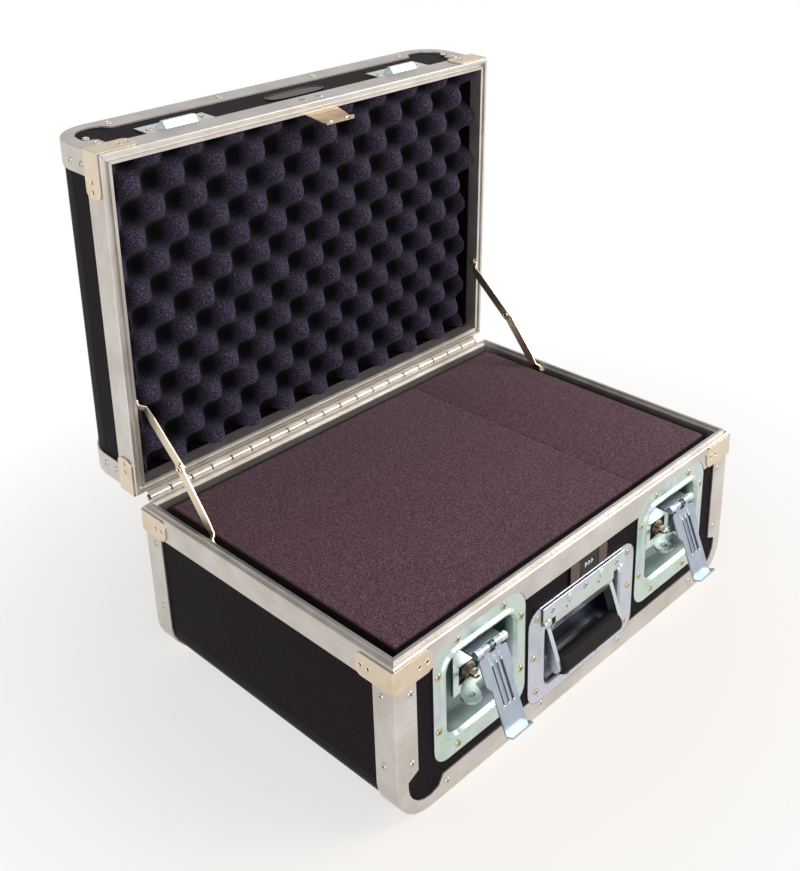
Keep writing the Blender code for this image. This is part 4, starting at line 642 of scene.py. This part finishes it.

# %% [markdown]
# The same tan rivets hold the handle dish, at its corners, half way up its sides and twice along
# its foot. On the cover the heads are zinc like the sheet, so they read as small rings round
# dimples painted dark as shade. The cover also has two bosses over the bail's pivots, two half
# knuckles and a few pits, which are tiny black domes of painted shade.

# %% Rivets and bosses of the handle
HANDLE_FLANGE_IN = 0.6 * MM
HANDLE_RIVET, COVER_RIVET = (3.2 * MM, 1.0 * MM), (3.3 * MM, 0.8 * MM)
flange_y = node_box("handle_dish")[0][1] + HANDLE_FLANGE_IN
cover_y = node_box("handle_cover")[0][1]
flange_spots = [
    ((sign * x * MM, flange_y, z * MM), FRONT)
    for x, z in ((70.5, 115), (75, 73), (70.5, 32), (22.5, 25.5))
    for sign in (-1, 1)
]
rivets("handle_dish_rivets", flange_spots, TAN_RIVET, "base", "zinc_steel", *HANDLE_RIVET)


def on_cover(places, *stretch):
    """Places on the cover's face, given as x and z in millimetres."""
    return [((x * MM, cover_y, z * MM), FRONT, *stretch) for x, z in places]


cover_spots = on_cover([(-50, 115.5), (0, 115.5), (50, 115.5)])
rivets("handle_cover_rivets", cover_spots, ZINC_BLUE, "base", "zinc_steel", *COVER_RIVET)
pivot_spots = on_cover([(-57, 104), (57, 104)])
domes("handle_pivot_bosses", pivot_spots, ZINC, "base", "zinc_steel", 5.4 * MM, 2.6 * MM)
knuckle_spots = on_cover([(-25, 116.5), (25, 116.5)], (0.8, 1.5, 1.0))
domes("cover_half_knuckles", knuckle_spots, ZINC, "base", "zinc_steel", 3.6 * MM, 1.8 * MM)
# The pits are tiny black domes: painted shade for small hollows in the cover.
pit_spots = on_cover([(-29, 108), (21, 108), (-31, 96)])
domes("cover_pits", pit_spots, PLASTIC, "base", "zinc_steel", 1.2 * MM, 0.15 * MM)

# %% [markdown]
# Rivets also run along every extrusion. The end legs of the edgings have two on each face and their
# middles have four. The lid repeats this, with its legs' rivets kept off the rounded corners.

# %% Rivets of the edgings
EDGING_RIVET = 3.4 * MM, 1.1 * MM
LEG_X, MIDDLE_X = 235 * MM, np.array((-193, -64, 61, 192)) * MM
END_FRONT_Y, END_BACK_Y = 3 * MM, 321 * MM
edging_low, edging_high = node_box("base_front_edging")
edging_back_y = node_box("base_back_edging")[1][1]


def edging_spots(leg_heights, middle_z):
    """Places on the front, back and both ends of a shell's edgings, on legs and middles."""
    spots = []
    for face_y, normal, end_y in (
        (edging_low[1], FRONT, END_FRONT_Y),
        (edging_back_y, BACK, END_BACK_Y),
    ):
        spots += [((sign * LEG_X, face_y, z), normal) for sign in (-1, 1) for z in leg_heights]
        spots += [((x, face_y, middle_z), normal) for x in MIDDLE_X]
        spots += [
            ((sign * edging_high[0], end_y, z), normal_x)
            for sign, normal_x in ((-1, LEFT), (1, RIGHT))
            for z in leg_heights
        ]
    return spots


for body, leg_heights, middle_z in (
    ("base", (63 * MM, 137 * MM), 14 * MM),
    ("lid", (209 * MM, 227 * MM), 257 * MM),
):
    rivets(
        f"{body}_edging_rivets", edging_spots(leg_heights, middle_z),
        RIVET_STEEL, body, "aluminium", *EDGING_RIVET, lid=body == "lid",
    )

# %% [markdown]
# Each corner cap has two rivets close together on both of its faces, near its far end. Two large
# plain heads on the lid's front band hold the catch tab behind them, and each keeper has two of the
# tan rivets.

# %% Rivets of the caps, the band and the keepers
CAP_RIVET, BAND_RIVET = (3.5 * MM, 0.6 * MM), (5.2 * MM, 1.4 * MM)
KEEPER_RIVET, KEEPER_FACE_IN = (3.2 * MM, 1.1 * MM), 1.3 * MM
KEEPER_Z, BAND_Z = 212.6 * MM, 190 * MM
CAP_FRONT_X, CAP_BACK_X, CAP_FRONT_Y, CAP_BACK_Y, CAP_STEP = 216.5, 222, 24, 305, 9
cap_low = node_box("base_front_left_cap")[0]
cap_back_y = node_box("base_back_left_cap")[1][1]


def cap_spots(z):
    """Two places near the far end of each cap on its long face and on its end face. Where the
    first one stands, and the step to the second, are given in millimetres."""
    spots = []
    for sign, normal_x in ((-1, LEFT), (1, RIGHT)):
        for step in (0, CAP_STEP):
            spots.append(((sign * (CAP_FRONT_X + step) * MM, cap_low[1], z), FRONT))
            spots.append(((sign * (CAP_BACK_X + step) * MM, cap_back_y, z), BACK))
            spots.append(((sign * -cap_low[0], (CAP_FRONT_Y - step) * MM, z), normal_x))
            spots.append(((sign * -cap_low[0], (CAP_BACK_Y + step) * MM, z), normal_x))
    return spots


for body, cap_z in (("base", 159.5 * MM), ("lid", 188.8 * MM)):
    rivets(
        f"{body}_cap_rivets", cap_spots(cap_z),
        NICKEL, body, "nickel_steel", *CAP_RIVET, lid=body == "lid",
    )
band_y = node_box("lid_front_rim", shut=True)[0][1]
band_spots = [((x * MM, band_y, BAND_Z), FRONT) for x in (-10.5, 10.5)]
domes("lid_band_rivets", band_spots, RIVET_STEEL, "lid", "aluminium", *BAND_RIVET, lid=True)
for side in ("left", "right"):
    low, high = node_box(f"{side}_keeper", shut=True)
    middle_x = (low[0] + high[0]) / 2
    rivets(
        f"{side}_keeper_rivets",
        [((middle_x + x * MM, high[1] - KEEPER_FACE_IN, KEEPER_Z), FRONT) for x in (-30, 30)],
        TAN_RIVET, "lid", "zinc_steel", *KEEPER_RIVET, lid=True,
    )

# %% [markdown]
# The hinge is a long piano hinge: strip rolled round a pin, cut in knuckles an inch long. Rolled
# strip is smooth, while the CAD cylinders have few sides, so a sleeve a tenth of a millimetre
# larger goes round each one. Neighbours belong to the base and the lid in turn. The gap between two
# of them is painted dark as shade, by a short dark collar at each end of a knuckle.

# %% Hinge knuckles
KNUCKLE_PITCH, KNUCKLE_GAP = 25.4 * MM, 1.5 * MM
KNUCKLE_RADIUS, KNUCKLE_EDGE = 3.3 * MM, 0.35 * MM
COLLAR_PLAY, COLLAR_DROP, COLLAR_EDGE = 0.05 * MM, 0.05 * MM, 0.02 * MM
collar_length = KNUCKLE_GAP / 2 - COLLAR_PLAY
leaf_low, leaf_high = node_box("hinge_leaf_lid")
knuckle_count = round((leaf_high[0] - leaf_low[0]) / KNUCKLE_PITCH)


def rods(name, ends, length, radius, edge, finish, body, place, sides=20, lid=False):
    """Cylinders along x with rounded edges, from each end's x, about an axis at place (y, z)."""
    profile = [
        (radius - edge, 0), (radius, edge), (radius, edge * 2.5),
        (radius, length - edge * 2.5), (radius, length - edge), (radius - edge, length),
        (0, length),
    ]
    places = [((x, *place), RIGHT) for x in ends]
    return repeated(name, revolved(profile, sides), places, finish, body, lid)


for body, first in (("base", 0), ("lid", 1)):
    left_ends = leaf_low[0] + np.arange(first, knuckle_count, 2) * KNUCKLE_PITCH
    right_collars = left_ends + KNUCKLE_PITCH - KNUCKLE_GAP / 2
    rods(
        f"{body}_hinge_knuckles", left_ends + KNUCKLE_GAP / 2, KNUCKLE_PITCH - KNUCKLE_GAP,
        KNUCKLE_RADIUS, KNUCKLE_EDGE, HINGE_STEEL, body, HINGE_POINT[1:],
    )
    # Painted shade: dark collars at each knuckle's ends darken the gaps between knuckles.
    rods(
        f"{body}_hinge_gap_shade_collars", np.concatenate([left_ends + COLLAR_PLAY, right_collars]),
        collar_length, KNUCKLE_RADIUS - COLLAR_DROP, COLLAR_EDGE, PAINTED_SHADE_DARK, body,
        HINGE_POINT[1:],
    )
print("hinge knuckles", knuckle_count)

# %% [markdown]
# Each stay turns on a shouldered rivet at its middle. Its head shows towards the foam and its tail
# towards the shell, each on whichever of the two arms lies outermost there.

# %% Stay rivets
STAY_JOINT, STAY_JOINT_REACH = np.array((287.0, 228.6)) * MM, 8 * MM
STAY_RIVET = 4.4 * MM, 0.9 * MM
for side, inward, outward in (("left", RIGHT, LEFT), ("right", LEFT, RIGHT)):
    outer, inner = [], []
    for part in ("upper", "lower"):
        arm = points_of(frame["nodes"][f"{side}_stay_{part}"].data)
        beside = np.linalg.norm(arm[:, 1:] - STAY_JOINT, axis=1) < STAY_JOINT_REACH
        reach = arm[beside, 0] * inward[0]
        outer.append((reach.min(), part))
        inner.append((reach.max(), part))
    ends = (("rivet", inward, max(inner)), ("rivet_tail", outward, min(outer)))
    for label, normal, (reach, part) in ends:
        spot = ((reach * inward[0], *STAY_JOINT), normal)
        body = f"{side}_stay_{part}"
        rivets(f"{side}_stay_{label}", [spot], NICKEL, body, "nickel_steel", *STAY_RIVET)

# %% [markdown]
# The catch tab ends in two short curls, where the strip was rolled over so that it guides without
# scratching. They are two short rods across the tab's tip.

# %% Curls of the catch tab
CURL_RADIUS, CURL_LENGTH, CURL_RISE, CURL_EDGE = 1.2 * MM, 10 * MM, 3.2 * MM, 0.4 * MM
TIP_REACH = 1.0 * MM
tab = swing(points_of(frame["nodes"]["lid_catch_tab"].data), OPEN_ANGLE)
tip = tab[tab[:, 2] < tab[:, 2].min() + TIP_REACH]
rods(
    "catch_tab_curls", (tip[:, 0].min(), tip[:, 0].max() - CURL_LENGTH), CURL_LENGTH,
    CURL_RADIUS, CURL_EDGE, RIVET_STEEL, "lid",
    (tip[:, 1].mean(), tip[:, 2].min() + CURL_RISE), sides=14, lid=True,
)

# %% [markdown]
# Each latch arm is stiffened by three long grooves with small round ends. They are too shallow to
# cut, so each one is a thin dark strip laid on the arm's face, painted shade for the groove. The
# arm
# hangs at an angle from its spring hinge: the hinge's place comes from the imported model, and the
# face from the arm's mesh.

# %% Grooves of the latch arms
ARM_ANGLE = math.radians(22.4)
ARM_DOWN = np.array((0, -math.sin(ARM_ANGLE), -math.cos(ARM_ANGLE)))
ARM_OUT = np.array((0, -math.cos(ARM_ANGLE), math.sin(ARM_ANGLE)))
ARM_FACE_FROM, ARM_FACE_TO = 10 * MM, 62 * MM
GROOVE_STEP, GROOVE_HALF = 6.2 * MM, 0.75 * MM
GROOVE_PROUD, GROOVE_SINK = 0.12 * MM, 0.2 * MM
GROOVE_START, GROOVE_END = 15 * MM, 54 * MM
GROOVE_TIP = 1.3 * MM, 0.5 * MM
strip_box = np.array([
    (across, run, lift)
    for lift in (-GROOVE_SINK, GROOVE_PROUD)
    for across, run in (
        (-GROOVE_HALF, GROOVE_START), (GROOVE_HALF, GROOVE_START),
        (GROOVE_HALF, GROOVE_END), (-GROOVE_HALF, GROOVE_END),
    )
])
strip = strip_box @ np.array(((1, 0, 0), ARM_DOWN, ARM_OUT))
STRIP_FACES = np.array((
    (0, 1, 2, 3), (7, 6, 5, 4), (0, 4, 5, 1), (1, 5, 6, 2), (2, 6, 7, 3), (3, 7, 4, 0),
))
for side in ("left", "right"):
    low, high = node_box(f"{side}_latch_arm")
    pivot = np.array(((low[0] + high[0]) / 2, *joints[f"{side}_hasp_swing"]["pos_m"][1:]))
    arm = points_of(frame["nodes"][f"{side}_latch_arm"].data) - pivot
    along, out = arm @ ARM_DOWN, arm @ ARM_OUT
    face_out = out[(along > ARM_FACE_FROM) & (along < ARM_FACE_TO)].max()
    tops = [
        pivot + (step * GROOVE_STEP, 0, 0) + ARM_OUT * face_out for step in (-1, 0, 1)
    ]
    faces = np.vstack([STRIP_FACES + len(strip) * index for index in range(len(tops))]).tolist()
    body = f"{side}_latch_hasp"
    strips = np.vstack([strip + top for top in tops])
    # The dark strips are painted shade, where each groove would be in shadow.
    new_piece(f"{side}_arm_grooves", strips, faces, GROOVE_DARK, body)
    tips = [(top + ARM_DOWN * run, ARM_OUT) for top in tops for run in (GROOVE_START, GROOVE_END)]
    domes(f"{side}_groove_ends", tips, ZINC, body, "zinc_steel", *GROOVE_TIP)
    print(side, "arm's face stands", round(face_out / MM, 2), "mm out of its hinge line")

# %% [markdown]
# The lid's front carries a bare oval plate, moulded in black plastic with a raised border, and the
# lock has a sliding button on each side of its dials. All three are superellipses, oval or nearly
# square according to one power, built from rings that step in from the outline.

# %% Oval plate and lock buttons
PLATE_SIDES = 72
OVAL_BORDER = np.array(((0, -0.2), (0, 0.7), (0.4, 1.0), (1.4, 1.0), (1.8, 0.5))) * MM
BUTTON_RINGS = np.array(((0, -0.2), (0, 0.4), (0.3, 0.7))) * MM
OVAL_SIZE, OVAL_POWER, OVAL_X, OVAL_Z = (75 * MM, 21 * MM), 3.0, 4 * MM, 220 * MM
BUTTON_SIZE, BUTTON_POWER, BUTTON_IN = (13.6 * MM, 19.0 * MM), 14.0, 7.2 * MM


def plate(name, centre, size, power, rings, finish, body, lid=False):
    """A plate facing -y: |x/a|^p + |z/b|^p = 1 as outline, rings of (inset, height), flat top."""
    angle = np.arange(PLATE_SIDES) * 2 * math.pi / PLATE_SIDES
    turn = np.stack([np.cos(angle), np.sin(angle)], -1)
    outline = np.sign(turn) * np.abs(turn) ** (2 / power)
    layers = []
    for inset, height in rings:
        flat = outline * (np.array(size) / 2 - inset)
        layers.append(np.stack([flat[:, 0], np.full(PLATE_SIDES, -height), flat[:, 1]], -1))
    points = np.vstack(layers) + np.array(centre)
    points = swing(points, -OPEN_ANGLE) if lid else points
    faces = grid_faces(len(rings), PLATE_SIDES, wrap=True)
    faces.append(list(range(len(points) - PLATE_SIDES, len(points))))
    faces.append(list(range(PLATE_SIDES))[::-1])
    return new_piece(name, points, faces, finish, body)


oval_centre = (OVAL_X, node_box("lid_front_panel", shut=True)[0][1], OVAL_Z)
plate(
    "bare_oval_plate", oval_centre, OVAL_SIZE, OVAL_POWER, OVAL_BORDER, PLASTIC, "lid", lid=True
)
lock_low, lock_high = node_box("lock_housing")
lock_middle_z = (lock_low[2] + lock_high[2]) / 2
for label, x in (("left", lock_low[0] + BUTTON_IN), ("right", lock_high[0] - BUTTON_IN)):
    plate(
        f"{label}_lock_button", (x, lock_low[1], lock_middle_z),
        BUTTON_SIZE, BUTTON_POWER, BUTTON_RINGS, LOCK_BUTTON, "base",
    )
print("oval plate and lock buttons made")

# %% [markdown]
# Each dial has the digits 0 to 9, moulded in and filled with white paint. A digit starts as flat
# text, becomes a thin mesh, and is wrapped round the dial: its height along the circle turns into
# an angle of height over radius.

# %% Digits of the dials
DIGIT_HEIGHT, DIGIT_LIFT, DIGIT_THICK = 4.5 * MM, 0.02 * MM, 0.06 * MM
DIGIT_STRETCH, DIGIT_WEIGHT = 1.2, 0.018
DIAL_RADIUS = 7.5 * MM


def digit_shape(character):
    """Points centred on zero with height one, and faces, of one digit with a little thickness."""
    curve = bpy.data.curves.new("digit", "FONT")
    curve.body, curve.extrude, curve.offset = character, 0.5, DIGIT_WEIGHT
    holder = bpy.data.objects.new("digit", curve)
    bpy.context.scene.collection.objects.link(holder)
    graph = bpy.context.evaluated_depsgraph_get()
    mesh = bpy.data.meshes.new_from_object(holder.evaluated_get(graph))
    bpy.data.objects.remove(holder)
    flat = points_of(mesh)
    faces = [list(polygon.vertices) for polygon in mesh.polygons]
    bpy.data.meshes.remove(mesh)
    low, high = flat.min(0), flat.max(0)
    shape = (flat - (low + high) / 2) / (high[1] - low[1])
    shape[:, 2] = np.sign(shape[:, 2])
    return shape, faces


def dial_digits(node, body):
    """Ten digits round a dial, a tenth of a turn apart, upright at the front, joined in one piece:
    turn = digit * 36 degrees + height / radius, out = radius + lift + thickness."""
    low, high = node_box(node)
    axis = (low + high) / 2
    points, faces, count = [], [], 0
    for digit in range(10):
        shape, digit_faces = digit_shape(str(digit))
        turn = digit * 2 * math.pi / 10 + shape[:, 1] * DIGIT_HEIGHT / DIAL_RADIUS
        out = DIAL_RADIUS + DIGIT_LIFT + (shape[:, 2] + 1) / 2 * DIGIT_THICK
        x = axis[0] + shape[:, 0] * DIGIT_HEIGHT * DIGIT_STRETCH
        y, z = axis[1] - out * np.cos(turn), axis[2] + out * np.sin(turn)
        points.append(np.stack([x, y, z], -1))
        faces += [[v + count for v in face] for face in digit_faces]
        count += len(shape)
    name = f"{body}_digits"
    return new_piece(name, np.vstack(points), faces, WHITE_PAINT, body)


for number in (1, 2, 3):
    digits = dial_digits(f"lock_dial_{number}", f"dial_{number}")
print("digits", len(digits.data.polygons), "faces on each dial")

# %% [markdown]
# The lid is lined with convoluted foam, the egg-crate kind that grips what lies below. It is made
# by squeezing a slab between studded rollers while a blade splits it, so peaks and valleys mirror
# each other: a product of two cosines. A fine grid of that function, closed at its sides and back,
# gives a smooth sheet that the few faces of the CAD solid only outline.

# %% Convoluted lid foam
CRATE_PITCH_X, CRATE_PITCH_Y, CRATE_DEPTH = 48.0 * MM, 53.4 * MM, 24.0 * MM
CRATE_COLUMNS, CRATE_ROWS = 290, 200
CRATE_FLATTEN = 0.45
CRATE_TO_WALL, CRATE_TO_HINGE, CRATE_BACK_HALF = 9.2 * MM, 4.2 * MM, 208 * MM
CRATE_BACK_GAP, CRATE_SHARP = 0.2 * MM, 70
STAY_CHANNEL_Y, STAY_CHANNEL_EASE = 130 * MM, 14 * MM


def crate_grid(low, high):
    """The slab's grid: x, y and the factor by which x is widened in front of the stays' channel."""
    x = np.linspace(low[0], high[0], CRATE_COLUMNS)
    y = np.linspace(low[1], high[1] + CRATE_TO_HINGE, CRATE_ROWS)
    grid_x, grid_y = np.meshgrid(x, y)
    beside_stays = np.clip((grid_y - STAY_CHANNEL_Y) / STAY_CHANNEL_EASE, 0, 1)
    widened = 1 + CRATE_TO_WALL / high[0] * (1 - beside_stays)
    return grid_x * widened, grid_y, widened


def crate_wave(grid_x, grid_y, centre_y):
    """cos(2 pi x / pitch) cos(2 pi y / pitch), its extremes pressed a little flatter by a sine."""
    wave = np.cos(2 * math.pi * grid_x / CRATE_PITCH_X)
    wave = wave * np.cos(2 * math.pi * (grid_y - centre_y) / CRATE_PITCH_Y)
    return np.sin(wave * math.pi / 2) * CRATE_FLATTEN + wave * (1 - CRATE_FLATTEN)


def slab_faces(rows, columns):
    """Faces of a slab: its front grid, its back grid after it and a band between their borders."""
    count = rows * columns
    front = [face[::-1] for face in grid_faces(rows, columns)]
    index = np.arange(count).reshape(rows, columns)
    border = np.concatenate([index[0, :-1], index[:-1, -1], index[-1, :0:-1], index[:0:-1, 0]])
    after = np.roll(border, -1)
    band = np.stack([border, after, after + count, border + count], -1).tolist()
    return front + grid_faces(rows, columns, start=count) + band


def convoluted_foam():
    """Height of the face = peak + depth * (1 - wave) / 2. The slab is full width in front, narrower
    beside the stays, which fold between it and the wall, and at its back, where the shell's
    corners are round. The wave is stored as the height attribute."""
    low, high = node_box("lid_foam", shut=True)
    grid_x, grid_y, widened = crate_grid(low, high)
    wave = crate_wave(grid_x, grid_y, (low[1] + high[1]) / 2)
    face = low[2] + CRATE_DEPTH * (1 - wave) / 2
    back_x = grid_x * CRATE_BACK_HALF / (high[0] * widened)
    back_z = np.full_like(face, high[2] - CRATE_BACK_GAP)
    sheets = [np.stack(sheet, -1) for sheet in ((grid_x, grid_y, face), (back_x, grid_y, back_z))]
    points = swing(np.concatenate(sheets).reshape(-1, 3), -OPEN_ANGLE)
    faces = slab_faces(*grid_x.shape)
    name = "convoluted_lid_foam"
    piece = new_piece(name, points, faces, LID_FOAM, "lid", CRATE_SHARP)
    heights = np.concatenate([(wave.ravel() + 1) / 2, np.zeros(wave.size)])
    piece.data.attributes.new("height", "FLOAT", "POINT").data.foreach_set("value", heights)
    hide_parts("lid_foam")
    return piece


crate = convoluted_foam()
print("convoluted foam", len(crate.data.polygons), "faces")

# %% [markdown]
# The base holds two foam blocks, cut to fit and set side by side, with thinner liners in front and
# behind. A blade leaves crisp but not sharp arrises, so the CAD solid is copied and its sharp edges
# are rounded by less than a millimetre. The grain of the cut comes from the finish.

# %% Base foam
FOAM_ARRIS, FOAM_SHARP = 0.8 * MM, 50
ARRIS_ANGLE, FLAT_ANGLE = math.radians(40), math.radians(1)
MERGE_DISTANCE = 0.01 * MM


def cut_block(node, finish, name):
    """A foam block: the CAD solid with its flat faces joined and its sharp edges rounded."""
    source = bmesh.new()
    source.from_mesh(frame["nodes"][node].data)
    bmesh.ops.remove_doubles(source, verts=source.verts, dist=MERGE_DISTANCE)
    bmesh.ops.dissolve_limit(
        source, angle_limit=FLAT_ANGLE, verts=source.verts, edges=source.edges
    )
    arrises = [
        edge
        for edge in source.edges
        if len(edge.link_faces) == 2 and edge.calc_face_angle() > ARRIS_ANGLE
    ]
    bmesh.ops.bevel(
        source, geom=arrises, offset=FOAM_ARRIS, segments=2, profile=0.5,
        affect="EDGES", clamp_overlap=True,
    )
    mesh = bpy.data.meshes.new(name)
    source.to_mesh(mesh)
    source.free()
    block = finished(name, mesh, finish, "base", FOAM_SHARP)
    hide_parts(node)
    print(name, len(mesh.polygons), "faces")
    return block


for node, finish in (
    ("foam_block_left", BASE_FOAM),
    ("foam_block_right", BASE_FOAM),
    ("foam_liner_front", SHADED_LINER_FOAM),
    ("foam_liner_back", SHADED_LINER_FOAM),
):
    cut_block(node, finish, node.replace("foam", "cut_foam"))

# %% [markdown]
# A photograph of a product is lit by large soft lamps in a pale room. The world is white for the
# camera and pale for mirrors, while a dimmer world lights the case, so that dark foam stays dark.

# %% White room
WORLD_LIGHT, MIRROR_LIGHT = 0.3, 1.15


def white_room():
    """A world that is white to the camera, pale in mirrors, and dimmer as a source of light."""
    world = bpy.data.worlds.new("white_room")
    world.use_nodes = True
    tree = world.node_tree
    tree.nodes.clear()
    ray = add_node(tree, "LightPath").outputs
    where = add_node(tree, "TexCoord").outputs["Generated"]
    up = add_node(tree, "SeparateXYZ", {0: where}).outputs["Z"]
    sky = add_node(tree, "ValToRGB", {"Fac": up}, ((0.0, "#fbf7f2"), (0.9, "#a9adb6")))
    light, mirror, shown = (
        add_node(tree, "Background", {"Color": colour, "Strength": strength})
        for colour, strength in (
            (linear("#f4f3f1"), WORLD_LIGHT),
            (sky.outputs["Color"], MIRROR_LIGHT),
            ((1, 1, 1, 1), 1.0),
        )
    )
    seen = add_node(
        tree, "Math", {0: ray["Is Camera Ray"], 1: ray["Is Transmission Ray"]}, operation="MAXIMUM"
    )
    lit = add_node(
        tree, "MixShader", {0: ray["Is Glossy Ray"], 1: light.outputs[0], 2: mirror.outputs[0]}
    )
    room = add_node(
        tree, "MixShader", {0: seen.outputs[0], 1: lit.outputs[0], 2: shown.outputs[0]}
    )
    add_node(tree, "OutputWorld", {"Surface": room.outputs[0]})
    bpy.context.scene.world = world


white_room()
print("room ready, world light", WORLD_LIGHT)

# %% [markdown]
# The floor keeps the case's shadow. For the camera and in mirrors it carries a share of plain white
# that grows with the distance from the case, so the shadow is soft and the floor ends in white.

# %% Pale floor
FLOOR_HALF = 12.0
FLOOR_WHITE_NEAR, FLOOR_WHITE_FAR = 0.68, 1.0
SHADOW_REACH = (0.3, 0.66)
case_middle = (cad_low + cad_high) / 2


def pale_floor():
    """A wide flat floor. Share of white = near + (far - near) * distance between two reaches."""
    mesh = bpy.data.meshes.new("floor")
    signs = ((-1, -1), (1, -1), (1, 1), (-1, 1))
    corners = [(x * FLOOR_HALF, y * FLOOR_HALF, 0) for x, y in signs]
    mesh.from_pydata(corners, [], [(0, 1, 2, 3)])
    finish, tree, where = new_finish("pale_floor")
    shader = tree.nodes["Principled BSDF"]
    fill(tree, shader, {"Base Color": linear("#f1e4d6"), "Roughness": 0.9})
    ray = add_node(tree, "LightPath").outputs
    white = add_node(tree, "Emission", {"Color": (1, 1, 1, 1), "Strength": 1.0})
    middle = (case_middle[0], case_middle[1], 0)
    from_case = add_node(tree, "VectorMath", {0: where, 1: middle}, operation="DISTANCE")
    white_share = add_node(tree, "MapRange", {
        "Value": from_case.outputs["Value"],
        "From Min": SHADOW_REACH[0],
        "From Max": SHADOW_REACH[1],
        "To Min": FLOOR_WHITE_NEAR,
        "To Max": FLOOR_WHITE_FAR,
    })
    seen = add_node(
        tree, "Math", {0: ray["Is Camera Ray"], 1: ray["Is Glossy Ray"]}, operation="MAXIMUM"
    )
    shares = {0: seen.outputs[0], 1: white_share.outputs["Result"]}
    share = add_node(tree, "Math", shares, operation="MULTIPLY")
    mix = add_node(
        tree, "MixShader", {0: share.outputs[0], 1: shader.outputs[0], 2: white.outputs[0]}
    )
    fill(tree, tree.nodes["Material Output"], {"Surface": mix.outputs[0]})
    mesh.materials.append(finish)
    floor = bpy.data.objects.new("floor", mesh)
    bpy.context.scene.collection.objects.link(floor)


pale_floor()
print("floor ready, half", FLOOR_HALF, "m")

# %% [markdown]
# Two large square lamps stand in front. The stronger one, high on the right, models the front, and
# the lower one on the left fills the end panel.

# %% Lamps
LAMPS = (
    ("key_lamp", (1.7, -1.45, 1.9), 1.5, 57),
    ("fill_lamp", (-2.1, -1.9, 1.2), 1.8, 36),
)


def soft_lamp(name, place, size, power):
    """A square area lamp, place and size in metres and power in watts, turned to the case."""
    data = bpy.data.lights.new(name, "AREA")
    data.shape, data.size, data.energy = "SQUARE", size, power
    lamp = bpy.data.objects.new(name, data)
    lamp.location = place
    lamp.rotation_mode = "QUATERNION"
    lamp.rotation_quaternion = (Vector(place) - Vector(case_middle)).to_track_quat("Z", "Y")
    bpy.context.scene.collection.objects.link(lamp)


for lamp in LAMPS:
    soft_lamp(*lamp)
bpy.context.scene.view_settings.view_transform = "Standard"
print("lamps ready:", len(LAMPS))
